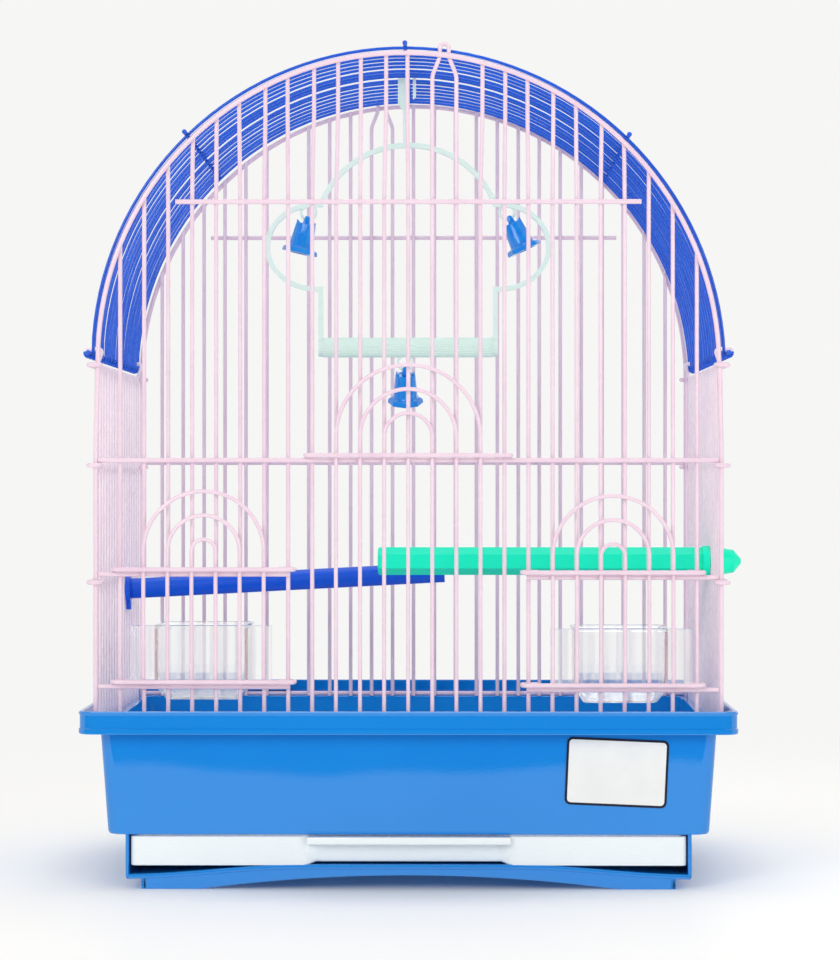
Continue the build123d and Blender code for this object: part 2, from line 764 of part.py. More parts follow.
def cup(middle, drop):
    """One feeder cup."""
    bottom_z = cup_bottom_z - drop
    top_z = cup_top_z - drop
    wing_z = sill_rail_z - drop + rail_r + wing_gap
    slope_top_z = bottom_z + cup_chamfer
    inner_w = cup_width - 2 * cup_wall
    inner_d = cup_depth - 2 * cup_wall
    with BuildSketch(Plane.XY.offset(slope_top_z)) as face:
        with Locations((middle, bowl_mid_y)):
            RectangleRounded(cup_width, cup_depth, cup_corner_r)
    extrude(face.sketch, amount=top_z - slope_top_z)
    # the bowl narrows to its floor
    with BuildSketch(Plane.XY.offset(bottom_z)) as face:
        with Locations((middle, bowl_mid_y)):
            Rectangle(cup_width - 2 * cup_taper, cup_depth - 2 * cup_taper)
    with BuildSketch(Plane.XY.offset(slope_top_z)) as top_face:
        with Locations((middle, bowl_mid_y)):
            Rectangle(cup_width - 2 * cup_step, cup_depth - 2 * cup_step)
    loft([face.sketch, top_face.sketch])
    with BuildSketch(Plane.XY.offset(wing_z)) as face:
        web_x = cup_width / 2 - cup_wall / 2
        web_far_y = bowl_front_y + cup_corner_r
        with Locations((middle, wing_front_y + wing_t / 2)):
            Rectangle(wing_span, wing_t)
        with Locations((middle - web_x, (wing_front_y + web_far_y) / 2),
                       (middle + web_x, (wing_front_y + web_far_y) / 2)):
            Rectangle(cup_wall, web_far_y - wing_front_y)
    extrude(face.sketch, amount=top_z - wing_z)
    # hollow
    with BuildSketch(Plane.XY.offset(wing_z)) as face:
        with Locations((middle, wing_front_y + wing_t / 2)):
            Rectangle(inner_w, 2 * wing_t)
    extrude(face.sketch, amount=top_z - wing_z, mode=Mode.SUBTRACT)
    with BuildSketch(Plane.XY.offset(slope_top_z)) as face:
        with Locations((middle, bowl_mid_y)):
            RectangleRounded(inner_w, inner_d, cup_corner_r - cup_wall)
    extrude(face.sketch, amount=top_z - slope_top_z, mode=Mode.SUBTRACT)
    with BuildSketch(Plane.XY.offset(bottom_z + cup_wall)) as face:
        with Locations((middle, bowl_mid_y)):
            Rectangle(inner_w - 2 * cup_taper, inner_d - 2 * cup_taper)
    with BuildSketch(Plane.XY.offset(slope_top_z)) as top_face:
        with Locations((middle, bowl_mid_y)):
            Rectangle(inner_w - 2 * cup_step, inner_d - 2 * cup_step)
    loft([face.sketch, top_face.sketch], mode=Mode.SUBTRACT)


with BuildPart() as cup_left:
    cup(cup_shift - cup_x, 0)
cup_left.part.label = "cup_left"
export_step(cup_left.part, "parts/cup_left.step")

with BuildPart() as cup_right:
    cup(cup_shift + cup_x, feeder_drop)
cup_right.part.label = "cup_right"
export_step(cup_right.part, "parts/cup_right.step")

# Perches: a rod with a collar inside the side wires and a stem through them
stem_r = stem_d / 2
wire_inner_x = side_wire_x - side_wire_d / 2 - perch_side_gap
knob_face_x = side_rail_x + rail_r + perch_side_gap
green_y = -bar_y + (green_gap_count + 0.5) * side_pitch
blue_y = -bar_y + (blue_gap_count + 0.5) * side_pitch


def x_disc(x_from, x_to, y, z, radius):
    """A round disc or stem along X, added to the part in hand."""
    low = min(x_from, x_to)
    with BuildSketch(Plane.YZ.offset(low)) as face:
        with Locations((y, z)):
            Circle(radius)
    extrude(face.sketch, amount=abs(x_to - x_from))


with BuildPart() as green_perch:
    rod_end = wire_inner_x - green_collar_t
    with BuildSketch(Plane.YZ.offset(green_end_x)):
        with Locations((green_y, green_z)):
            RegularPolygon(green_across_flats / 2, 6, major_radius=False, rotation=30)
    extrude(amount=rod_end - green_end_x)
    chamfer(faces().filter_by(Axis.X).sort_by(Axis.X)[0].edges(), length=green_chamfer)
    x_disc(rod_end, wire_inner_x, green_y, green_z, green_collar_r)
    stem_end = knob_face_x + green_knob_length - knob_cap
    x_disc(wire_inner_x, stem_end, green_y, green_z, stem_r)
green_perch.part.label = "green_perch"
export_step(green_perch.part, "parts/green_perch.step")


def knob(side, y, z, length):
    """A screw knob outside the side panel, bored for the perch's stem."""
    flange_x = knob_face_x + knob_flange_t
    tip_x = knob_face_x + length
    shoulder_x = tip_x - knob_taper_share * (length - knob_flange_t)
    with BuildSketch(Plane.XY.offset(z)) as face:
        with BuildLine():
            Polyline(
                (side * knob_face_x, y),
                (side * knob_face_x, y + knob_r),
                (side * flange_x, y + knob_r),
                (side * flange_x, y + knob_neck_r),
                (side * shoulder_x, y + knob_shoulder_share * knob_neck_r),
                (side * tip_x, y + knob_tip_share * knob_neck_r),
                (side * tip_x, y),
                close=True,
            )
        make_face()
    revolve(face.sketch, axis=Axis((0, y, z), (1, 0, 0)))
    bore_end = knob_face_x + length - knob_cap + perch_side_gap
    with BuildSketch(Plane.YZ.offset(side * knob_face_x)) as face:
        with Locations((y, z)):
            Circle(stem_r + stem_fit)
    extrude(face.sketch, amount=side * (bore_end - knob_face_x), mode=Mode.SUBTRACT)


with BuildPart() as green_perch_knob:
    knob(1, green_y, green_z, green_knob_length)
green_perch_knob.part.label = "green_perch_knob"
export_step(green_perch_knob.part, "parts/green_perch_knob.step")

with BuildPart() as blue_perch:
    collar_x = -wire_inner_x + blue_collar_t
    tilt = radians(blue_tilt)
    rod_length = (blue_end_x - collar_x) / cos(tilt)
    rod_plane = Plane(
        origin=(collar_x - blue_collar_t / 2, blue_y, blue_z), z_dir=(cos(tilt), 0, sin(tilt))
    )
    with BuildSketch(rod_plane):
        Circle(blue_d / 2)
    extrude(amount=rod_length + blue_collar_t / 2)
    x_disc(-wire_inner_x, collar_x, blue_y, blue_z, blue_collar_r)
    stem_end = knob_face_x + blue_knob_length - knob_cap
    x_disc(-stem_end, -wire_inner_x, blue_y, blue_z, stem_r)
    # the prong under the collar
    with BuildSketch(Plane.YZ.offset(-wire_inner_x)):
        with Locations((blue_y, blue_z - blue_collar_r - prong_out)):
            Rectangle(prong_size, prong_size)
    extrude(amount=blue_collar_t)
blue_perch.part.label = "blue_perch"
export_step(blue_perch.part, "parts/blue_perch.step")

with BuildPart() as blue_perch_knob:
    knob(-1, blue_y, blue_z, blue_knob_length)
blue_perch_knob.part.label = "blue_perch_knob"
export_step(blue_perch_knob.part, "parts/blue_perch_knob.step")

# Swing: hook, arch, two ears, uprights and two bell rings in one moulding
half_t = swing_t / 2
swing_arch_z = crown_z - swing_arch_drop
swing_arch_top_z = swing_arch_z + swing_arch_rise
swing_perch_z = swing_arch_z - swing_perch_drop
hook_tip_z = crown_z - hook_tip_drop
hook_shoulder_z = crown_z - hook_shoulder_drop
stem_top_z = crown_z - stem_top_drop
left_bell_z = swing_arch_z - left_ring_drop
right_bell_z = swing_arch_z - right_ring_drop
low_bell_z = swing_perch_z - low_ring_drop
upright_l = swing_x - swing_half
upright_r = swing_x + swing_half
ear_mid_z = swing_arch_z - ear_ry
swing_plane = Plane.XZ.offset(-swing_y)
hook_r = dome_stay_d / 2 + hook_fit
stem_l = swing_x + stem_offset - swing_stem / 2
stem_r_x = swing_x + stem_offset + swing_stem / 2
slot_x = swing_x + slot_offset
hook_top_z = ridge_stay_z + hook_r + hook_top
tip_x = swing_x + hook_right


def bell_ring(x, z):
    """The ring that a bell hangs in."""
    with Locations((x, swing_y, z)):
        Torus(ring_r, ring_d / 2, rotation=(90, 0, 0))


with BuildPart() as swing_frame:
    with BuildSketch(swing_plane):
        for upright_x, out in ((upright_l, -1), (upright_r, 1)):
            ear_x = upright_x + out * ear_offset
            with Locations((ear_x, ear_mid_z)):
                Ellipse(ear_rx + strand / 2, ear_ry + strand / 2)
                Ellipse(ear_rx - strand / 2, ear_ry - strand / 2, mode=Mode.SUBTRACT)
            inside_x = upright_x - out * (ear_rx + 2 * strand)
            with Locations(((inside_x + ear_x) / 2, ear_mid_z)):
                Rectangle(abs(inside_x - ear_x), 2 * ear_ry + 2 * strand, mode=Mode.SUBTRACT)
            with Locations(((upright_x + ear_x) / 2, swing_arch_z),
                           ((upright_x + ear_x) / 2, ear_mid_z - ear_ry)):
                Rectangle(ear_offset + strand, strand)
            upright_top = ear_mid_z - ear_ry + strand / 2
            upright_foot = swing_perch_z
            with Locations((upright_x, (upright_top + upright_foot) / 2)):
                Rectangle(strand, upright_top - upright_foot)
        with BuildLine():
            ThreePointArc(
                (upright_l, swing_arch_z), (swing_x, swing_arch_top_z), (upright_r, swing_arch_z)
            )
        trace(line_width=strand)
        # stem and hook
        with BuildLine():
            Polyline(
                (stem_l, swing_arch_top_z),
                (stem_l, stem_top_z),
                (swing_x - hook_left, hook_shoulder_z),
                (swing_x - hook_left, hook_top_z - hook_top),
                (swing_x - hook_left + 2 * hook_top, hook_top_z),
                (tip_x - 2 * hook_top, hook_top_z),
                (tip_x, hook_top_z - hook_top),
                (tip_x, hook_tip_z + hook_top),
                (tip_x - hook_top, hook_tip_z),
                (slot_x, hook_tip_z),
                (slot_x, hook_shoulder_z),
                (stem_r_x, hook_shoulder_z),
                (stem_r_x, swing_arch_top_z),
                close=True,
            )
        make_face()
        with Locations((swing_x, ridge_stay_z)):
            Circle(hook_r, mode=Mode.SUBTRACT)
        slot_top_z = ridge_stay_z - hook_r / 2
        with Locations((slot_x, (slot_top_z + hook_shoulder_z) / 2)):
            Rectangle(hook_slot, slot_top_z - hook_shoulder_z, mode=Mode.SUBTRACT)
    extrude(amount=half_t, both=True)
    bell_ring(left_bell_x, left_bell_z)
    bell_ring(right_bell_x, right_bell_z)
    # collars for the perch's pegs
    for upright_x in (upright_l, upright_r):
        with BuildSketch(Plane.YZ.offset(upright_x)):
            with Locations((swing_y, swing_perch_z)):
                Circle(collar_d / 2)
        extrude(amount=strand / 2, both=True)
        with BuildSketch(Plane.YZ.offset(upright_x)):
            with Locations((swing_y, swing_perch_z)):
                Circle(peg_d / 2 + peg_fit)
        extrude(amount=strand, both=True, mode=Mode.SUBTRACT)
swing_frame.part.label = "swing_frame"
export_step(swing_frame.part, "parts/swing_frame.step")

with BuildPart() as swing_perch:
    perch_face_x = swing_half - strand / 2 - peg_fit
    with BuildSketch(Plane.YZ.offset(swing_x - perch_face_x)):
        with Locations((swing_y, swing_perch_z)):
            Circle(swing_perch_d / 2)
        with Locations((swing_y, swing_perch_z)):
            with PolarLocations(swing_perch_d / 2, swing_perch_rib_count):
                Circle(swing_rib, mode=Mode.SUBTRACT)
    extrude(amount=2 * perch_face_x)
    with BuildSketch(Plane.YZ.offset(swing_x - swing_half - strand / 2)):
        with Locations((swing_y, swing_perch_z)):
            Circle(peg_d / 2)
    extrude(amount=2 * swing_half + strand)
    bell_ring(low_bell_x, low_bell_z)
swing_perch.part.label = "swing_perch"
export_step(swing_perch.part, "parts/swing_perch.step")


# Bells: a tapered shell with an eight-sided lip and a crown that the ring runs through
def bell(centre, right, up):
    """One bell hanging from a ring at centre, its mouth away from up."""
    forward = Vector(*right).cross(Vector(*up))
    profile_plane = Plane(origin=centre, x_dir=right, z_dir=forward)
    foot = -bell_drop - bell_height
    lip = foot - bell_flange_t
    with BuildSketch(profile_plane) as face:
        with BuildLine():
            Polyline(
                (0, -bell_drop),
                (bell_top_r, -bell_drop),
                (bell_bottom_r, foot),
                (bell_bottom_r, lip),
                (0, lip),
                close=True,
            )
        make_face()
    axis = Axis(centre, up)
    revolve(face.sketch, axis=axis)
    with BuildSketch(Plane(origin=profile_plane.from_local_coords((0, lip, 0)), x_dir=right,
                           z_dir=up)) as face:
        RegularPolygon(bell_flange_r, bell_flange_side_count,
                       rotation=180 / bell_flange_side_count)
    extrude(face.sketch, amount=bell_flange_t, taper=bell_flange_taper)
    # crown
    with BuildSketch(profile_plane) as face:
        with Locations((0, -bell_drop + bell_crown_h / 2)):
            Rectangle(2 * bell_crown_r, bell_crown_h)
    extrude(face.sketch, amount=bell_crown_r, both=True)
    # two ears on the shoulder, the low place between them clears the ring
    with BuildSketch(profile_plane) as face:
        with Locations((-bell_top_r + bell_wall, -bell_drop), (bell_top_r - bell_wall, -bell_drop)):
            Rectangle(2 * bell_wall, 2 * bell_ear_h)
    extrude(face.sketch, amount=bell_top_r / 2, both=True)
    # hollow
    with BuildSketch(profile_plane) as face:
        with BuildLine():
            Polyline(
                (0, -bell_drop - bell_wall),
                (bell_top_r - bell_wall, -bell_drop - bell_wall),
                (bell_bottom_r - bell_wall, lip),
                (0, lip),
                close=True,
            )
        make_face()
    revolve(face.sketch, axis=axis, mode=Mode.SUBTRACT)


def ring_tunnel(x, z):
    """Room for the bell's ring through its crown."""
    with Locations((x, swing_y, z)):
        Torus(ring_r, ring_d / 2 + ring_fit, rotation=(90, 0, 0), mode=Mode.SUBTRACT)


def clapper(centre, up):
    """A bead on a short stem under the bell's roof."""
    origin = Vector(*centre)
    direction = Vector(*up)
    roof = origin - direction * (bell_drop + bell_wall + weld_gap)
    bead = roof - direction * clapper_drop
    with BuildSketch(Plane(origin=bead, z_dir=direction)) as face:
        Circle(clapper_stem_d / 2)
    extrude(face.sketch, amount=clapper_drop)
    with Locations(bead):
        Sphere(clapper_d / 2)


left_turn = radians(left_bell_tilt)
left_centre = (left_bell_x, swing_y, left_bell_z)
left_right = (cos(left_turn), 0, -sin(left_turn))
left_up = (sin(left_turn), 0, cos(left_turn))
right_turn = radians(right_bell_tilt)
right_centre = (right_bell_x, swing_y, right_bell_z)
right_right = (cos(right_turn), 0, -sin(right_turn))
right_up = (sin(right_turn), 0, cos(right_turn))
low_turn = radians(low_bell_lean)
low_up = (0, -sin(low_turn), cos(low_turn))
low_strand_z = low_bell_z - ring_r
low_centre = (low_bell_x, swing_y - ring_r * sin(low_turn), low_strand_z + ring_r * cos(low_turn))

with BuildPart() as bell_left:
    bell(left_centre, left_right, left_up)
    ring_tunnel(left_bell_x, left_bell_z)
bell_left.part.label = "bell_left"
export_step(bell_left.part, "parts/bell_left.step")

with BuildPart() as bell_right:
    bell(right_centre, right_right, right_up)
    ring_tunnel(right_bell_x, right_bell_z)
bell_right.part.label = "bell_right"
export_step(bell_right.part, "parts/bell_right.step")

with BuildPart() as bell_low:
    bell(low_centre, (1, 0, 0), low_up)
    ring_tunnel(low_bell_x, low_bell_z)
bell_low.part.label = "bell_low"
export_step(bell_low.part, "parts/bell_low.step")

with BuildPart() as clapper_left:
    clapper(left_centre, left_up)
clapper_left.part.label = "clapper_left"
export_step(clapper_left.part, "parts/clapper_left.step")

with BuildPart() as clapper_right:
    clapper(right_centre, right_up)
clapper_right.part.label = "clapper_right"
export_step(clapper_right.part, "parts/clapper_right.step")

with BuildPart() as clapper_low:
    clapper(low_centre, low_up)
clapper_low.part.label = "clapper_low"
export_step(clapper_low.part, "parts/clapper_low.step")
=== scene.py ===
from math import atan2, cos, pi, radians, sin, sqrt, tau

import bmesh
import bpy
from mathutils import Matrix, Vector


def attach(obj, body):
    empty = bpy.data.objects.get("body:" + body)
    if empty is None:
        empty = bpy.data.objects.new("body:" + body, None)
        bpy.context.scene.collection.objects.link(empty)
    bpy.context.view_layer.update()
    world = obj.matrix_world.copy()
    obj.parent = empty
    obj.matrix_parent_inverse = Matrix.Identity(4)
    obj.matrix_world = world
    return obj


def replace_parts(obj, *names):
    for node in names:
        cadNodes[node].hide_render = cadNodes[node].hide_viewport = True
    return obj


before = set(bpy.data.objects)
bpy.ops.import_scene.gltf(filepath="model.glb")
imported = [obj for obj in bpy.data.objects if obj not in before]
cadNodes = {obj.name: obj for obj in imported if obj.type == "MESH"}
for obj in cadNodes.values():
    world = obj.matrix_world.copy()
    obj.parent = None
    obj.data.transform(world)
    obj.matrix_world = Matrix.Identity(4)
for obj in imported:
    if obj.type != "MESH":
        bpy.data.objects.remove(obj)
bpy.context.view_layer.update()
mm = 0.001


# Colours are typed as they look, 0 to 255, and turned into the shader's own scale
def tint(red, green, blue):
    def channel(value):
        share = value / 255
        return share / 12.92 if share <= 0.04045 else ((share + 0.055) / 1.055) ** 2.4
    return (channel(red), channel(green), channel(blue), 1.0)


# Camera: level, at the height of the lower doors, a little right of the middle
cameraValues = {
    "place": (19.4, -1667.0, 195.6),
    "aim": (5.58, -114.0, 195.6),
    "lens": 139.54,
    "sensor": 36.0,
}


def addCamera():
    data = bpy.data.cameras.new("cageCamera")
    data.sensor_fit = "HORIZONTAL"
    data.sensor_width = cameraValues["sensor"]
    data.lens = cameraValues["lens"]
    data.clip_start = 0.05
    data.clip_end = 40
    camera = bpy.data.objects.new("cageCamera", data)
    place = Vector(cameraValues["place"]) * mm
    aim = Vector(cameraValues["aim"]) * mm
    camera.location = place
    camera.rotation_euler = (aim - place).to_track_quat("-Z", "Y").to_euler()
    bpy.context.collection.objects.link(camera)
    bpy.context.scene.camera = camera


# Node helpers for the studio and the finishes
def newFinish(name):
    finish = bpy.data.materials.new(name)
    finish.use_nodes = True
    tree = finish.node_tree
    tree.nodes.clear()
    output = tree.nodes.new("ShaderNodeOutputMaterial")
    shader = tree.nodes.new("ShaderNodeBsdfPrincipled")
    tree.links.new(shader.outputs[0], output.inputs["Surface"])
    place = tree.nodes.new("ShaderNodeTexCoord")
    return finish, tree, shader, place.outputs["Object"]


def addNoise(tree, place, scale, detail=3.0, roughness=0.5):
    noise = tree.nodes.new("ShaderNodeTexNoise")
    noise.inputs["Scale"].default_value = scale
    noise.inputs["Detail"].default_value = detail
    noise.inputs["Roughness"].default_value = roughness
    tree.links.new(place, noise.inputs["Vector"])
    return noise.outputs["Fac"]


def addRange(tree, value, low, high, fromLow=0.3, fromHigh=0.7, curve="LINEAR"):
    spread = tree.nodes.new("ShaderNodeMapRange")
    spread.interpolation_type = curve
    spread.inputs["From Min"].default_value = fromLow
    spread.inputs["From Max"].default_value = fromHigh
    spread.inputs["To Min"].default_value = low
    spread.inputs["To Max"].default_value = high
    tree.links.new(value, spread.inputs["Value"])
    return spread.outputs[0]


def addColourMix(tree, share, first, second):
    mix = tree.nodes.new("ShaderNodeMix")
    mix.data_type = "RGBA"
    tree.links.new(share, mix.inputs["Factor"])
    for socket, colour in (("A", first), ("B", second)):
        target = [s for s in mix.inputs if s.name == socket and s.type == "RGBA"][0]
        if isinstance(colour, tuple):
            target.default_value = colour
        else:
            tree.links.new(colour, target)
    return [s for s in mix.outputs if s.type == "RGBA"][0]


def addBump(tree, shader, height, strength, distance):
    bump = tree.nodes.new("ShaderNodeBump")
    bump.inputs["Strength"].default_value = strength
    bump.inputs["Distance"].default_value = distance
    tree.links.new(height, bump.inputs["Height"])
    tree.links.new(bump.outputs[0], shader.inputs["Normal"])


def addMath(tree, operation, *values):
    step = tree.nodes.new("ShaderNodeMath")
    step.operation = operation
    for socket, value in zip(step.inputs, values):
        if isinstance(value, (int, float)):
            socket.default_value = value
        else:
            tree.links.new(value, socket)
    return step.outputs[0]


def addLit(tree, kind, colour, strength):
    lit = tree.nodes.new(kind)
    lit.inputs["Color"].default_value = colour
    if isinstance(strength, (int, float)):
        lit.inputs["Strength"].default_value = strength
    else:
        tree.links.new(strength, lit.inputs["Strength"])
    return lit.outputs[0]


def addShaderMix(tree, share, first, second):
    mix = tree.nodes.new("ShaderNodeMixShader")
    for socket, source in zip(mix.inputs, (share, first, second)):
        tree.links.new(source, socket)
    return mix.outputs[0]


# Gloss rays get the dimmed value, and every other ray gets 1
def dimInGloss(tree, path, dimmed):
    return addMath(tree, "MAXIMUM", dimmed, addMath(tree, "SUBTRACT", 1, path["Is Glossy Ray"]))


# Studio: a pale floor, soft lamps, and a white surround for the camera, gloss and clear plastic
studioValues = {
    "floorSize": 60.0,
    "floorColour": (244, 243, 239),
    "floorRoughness": 0.55,
    "floorShine": 0.25,
    "floorGlow": 0.2,
    "shadeReach": (0.11, 0.2),
    "backdropColour": (246, 246, 245),
    "fadeReach": (0.25, 0.9),
    "paperEdge": -0.37,
    "paperSoft": 0.012,
    "paperWave": 0.1,
    "waveScale": 7.0,
    "roomSide": (-0.8, -0.3),
    "roomGloss": 0.12,
    "surroundLight": 0.42,
    "lampTarget": (0, 0, 0.2),
    "lamps": {
        "keyLamp": {"place": (-0.95, -1.9, 0.95), "size": (0.9, 0.9), "power": 15.0},
        "fillLamp": {"place": (1.2, -1.7, 0.45), "size": (1.1, 0.8), "power": 9.5},
        "topLamp": {"place": (0.0, 0.1, 1.9), "size": (1.4, 1.4), "power": 10.0},
        "rearLamp": {"place": (0.6, 1.6, 1.0), "size": (1.2, 1.2), "power": 4.0},
    },
}


# Matt paper that takes the cage's shadow and runs on into the plain backdrop
def floorPaper():
    v = studioValues
    paper, tree, matt, place = newFinish("floorPaper")
    surface = tree.nodes["Material Output"].inputs["Surface"]
    matt.inputs["Base Color"].default_value = tint(*v["floorColour"])
    matt.inputs["Roughness"].default_value = v["floorRoughness"]
    matt.inputs["Specular IOR Level"].default_value = v["floorShine"]
    reach = tree.nodes.new("ShaderNodeVectorMath")
    reach.operation = "LENGTH"
    tree.links.new(place, reach.inputs[0])
    distance = reach.outputs["Value"]
    # no glow under the cage, where the floor is in shade
    glow = addRange(tree, distance, 0, v["floorGlow"], *v["shadeReach"], "SMOOTHSTEP")
    both = tree.nodes.new("ShaderNodeAddShader")
    tree.links.new(matt.outputs[0], both.inputs[0])
    tree.links.new(addLit(tree, "ShaderNodeEmission", (1, 1, 1, 1), glow), both.inputs[1])
    # in gloss the paper ends a little way in front of the cage, on a wavy edge
    parts = tree.nodes.new("ShaderNodeSeparateXYZ")
    tree.links.new(place, parts.inputs[0])
    wave = addNoise(tree, place, v["waveScale"], 1)
    bent = addMath(tree, "MULTIPLY_ADD", wave, v["paperWave"], parts.outputs["Y"])
    edge = v["paperEdge"] + v["paperWave"] / 2
    paperShare = addRange(tree, bent, v["roomGloss"], 1, edge, edge + v["paperSoft"])
    path = tree.nodes.new("ShaderNodeLightPath").outputs
    bright = addLit(tree, "ShaderNodeEmission", tint(*v["backdropColour"]),
                    dimInGloss(tree, path, paperShare))
    # gloss and clear plastic see the floor as bright as the surround
    direct = addMath(tree, "MAXIMUM", path["Is Glossy Ray"], path["Is Transmission Ray"])
    far = addRange(tree, distance, 0, 1, *v["fadeReach"], "SMOOTHSTEP")
    share = addMath(tree, "MAXIMUM", direct, far)
    tree.links.new(addShaderMix(tree, share, both.outputs[0], bright), surface)
    return paper


def addFloor():
    mesh = bpy.data.meshes.new("studioFloor")
    shape = bmesh.new()
    bmesh.ops.create_grid(shape, x_segments=2, y_segments=2, size=studioValues["floorSize"] / 2)
    shape.to_mesh(mesh)
    shape.free()
    mesh.materials.append(floorPaper())
    floor = bpy.data.objects.new("studioFloor", mesh)
    bpy.context.collection.objects.link(floor)


def addSurround():
    v = studioValues
    world = bpy.data.worlds.new("studioSurround")
    bpy.context.scene.world = world
    world.use_nodes = True
    tree = world.node_tree
    tree.nodes.clear()
    path = tree.nodes.new("ShaderNodeLightPath").outputs
    seen = addMath(tree, "MAXIMUM", path["Is Camera Ray"], path["Is Glossy Ray"])
    seen = addMath(tree, "MAXIMUM", seen, path["Is Transmission Ray"])
    soft = addLit(tree, "ShaderNodeBackground", (1, 1, 1, 1), v["surroundLight"])
    # gloss also sees the dimmer room on the camera's side
    way = tree.nodes.new("ShaderNodeTexCoord").outputs["Generated"]
    parts = tree.nodes.new("ShaderNodeSeparateXYZ")
    tree.links.new(way, parts.inputs[0])
    room = addRange(tree, parts.outputs["Y"], v["roomGloss"], 1, *v["roomSide"])
    white = addLit(tree, "ShaderNodeBackground", tint(*v["backdropColour"]),
                   dimInGloss(tree, path, room))
    output = tree.nodes.new("ShaderNodeOutputWorld")
    tree.links.new(addShaderMix(tree, seen, soft, white), output.inputs["Surface"])


def addLamps():
    target = Vector(studioValues["lampTarget"])
    for name, values in studioValues["lamps"].items():
        data = bpy.data.lights.new(name, "AREA")
        data.shape = "RECTANGLE"
        data.size, data.size_y = values["size"]
        data.energy = values["power"]
        lamp = bpy.data.objects.new(name, data)
        lamp.location = values["place"]
        lamp.rotation_euler = (target - Vector(values["place"])).to_track_quat("-Z", "Y").to_euler()
        bpy.context.collection.objects.link(lamp)


addCamera()
addFloor()
addSurround()
addLamps()
bpy.context.scene.view_settings.view_transform = "Standard"
print("stage: camera, floor and lamps are in")


# How fine each finish's marks are, and how deep its bumps
grainValues = {
    "enamel": {"driftScale": 38, "speckScale": 900, "speckRough": 0.7, "speckFrom": (0.66, 0.74),
               "sheenScale": 160, "sheenSpread": 0.14, "coatRoughness": 0.12,
               "peelScale": 700, "peel": (0.12, 0.0002)},
    "moulding": {"flowRough": 0.55, "flowFrom": (0.25, 0.75), "scratchScale": 6, "scratchRough": 0.65,
                 "coatRoughness": 0.08, "glowDepth": 0.004, "grain": (0.05, 0.0002)},
    "styrene": {"hazeScale": 60, "sheenScale": 220, "sheenTo": 0.03, "facing": 0.4,
                "waveScale": 90, "wave": (0.04, 0.0004)},
    "steel": {"driftScale": 500, "sheenScale": 900, "sheen": (0.16, 0.34),
              "grainScale": 1500, "grain": (0.1, 0.0001)},
}


# Baked enamel on steel wire: slightly uneven film, fine orange peel, thin worn spots
def wireEnamel(name, values):
    v = grainValues["enamel"]
    finish, tree, shader, place = newFinish(name)
    drift = addRange(tree, addNoise(tree, place, v["driftScale"], 2), 0, 1)
    colour = addColourMix(tree, drift, tint(*values["colour"]), tint(*values["drift"]))
    specks = addNoise(tree, place, v["speckScale"], 4, v["speckRough"])
    specks = addRange(tree, specks, 0, 1, *v["speckFrom"])
    worn = addColourMix(tree, specks, colour, tint(*values["speck"]))
    tree.links.new(worn, shader.inputs["Base Color"])
    sheen = addNoise(tree, place, v["sheenScale"], 3)
    sheen = addRange(tree, sheen, values["gloss"], values["gloss"] + v["sheenSpread"])
    tree.links.new(sheen, shader.inputs["Roughness"])
    shader.inputs["Specular IOR Level"].default_value = values.get("shine", 0.35)
    shader.inputs["Coat Weight"].default_value = values["coat"]
    shader.inputs["Coat Roughness"].default_value = v["coatRoughness"]
    addBump(tree, shader, addNoise(tree, place, v["peelScale"], 3), *v["peel"])
    return finish


# Injection-moulded plastic: faint flow marks, fine scratches, soft gloss
def mouldedPlastic(name, values):
    v = grainValues["moulding"]
    finish, tree, shader, place = newFinish(name)
    flow = addNoise(tree, place, values.get("flowScale", 9), 4, v["flowRough"])
    flow = addRange(tree, flow, 0, 1, *v["flowFrom"])
    colour = addColourMix(tree, flow, tint(*values["colour"]), tint(*values["drift"]))
    tree.links.new(colour, shader.inputs["Base Color"])
    stretch = tree.nodes.new("ShaderNodeMapping")
    stretch.inputs["Scale"].default_value = (30, 30, 400)
    tree.links.new(place, stretch.inputs["Vector"])
    scratches = addNoise(tree, stretch.outputs[0], v["scratchScale"], 5, v["scratchRough"])
    dullest = values["gloss"] + values.get("glossSpread", 0.12)
    tree.links.new(addRange(tree, scratches, values["gloss"], dullest), shader.inputs["Roughness"])
    shader.inputs["Specular IOR Level"].default_value = values.get("shine", 0.3)
    shader.inputs["Coat Weight"].default_value = values.get("coat", 0.0)
    shader.inputs["Coat Roughness"].default_value = v["coatRoughness"]
    shader.inputs["Subsurface Weight"].default_value = values.get("glow", 0.0)
    shader.inputs["Subsurface Radius"].default_value = (v["glowDepth"],) * 3
    shader.inputs["Subsurface Scale"].default_value = 1.0
    addBump(tree, shader, addNoise(tree, place, values.get("grain", 1400), 2), *v["grain"])
    return finish


# Clear styrene: almost colourless, with faint haze and flow lines
def clearPlastic(name, values):
    v = grainValues["styrene"]
    finish, tree, shader, place = newFinish(name)
    haze = addRange(tree, addNoise(tree, place, v["hazeScale"], 4), 0, 1)
    colour = addColourMix(tree, haze, tint(*values["colour"]), tint(*values["drift"]))
    tree.links.new(colour, shader.inputs["Base Color"])
    sheen = addRange(tree, addNoise(tree, place, v["sheenScale"], 4), 0, v["sheenTo"])
    tree.links.new(sheen, shader.inputs["Roughness"])
    shader.inputs["IOR"].default_value = values["ior"]
    shader.inputs["Transmission Weight"].default_value = values["clear"]
    facing = tree.nodes.new("ShaderNodeLayerWeight")
    facing.inputs["Blend"].default_value = v["facing"]
    tree.links.new(addRange(tree, facing.outputs["Facing"], values["thin"], values["firm"], 0, 1),
                   shader.inputs["Alpha"])
    addBump(tree, shader, addNoise(tree, place, v["waveScale"], 2), *v["wave"])
    return finish


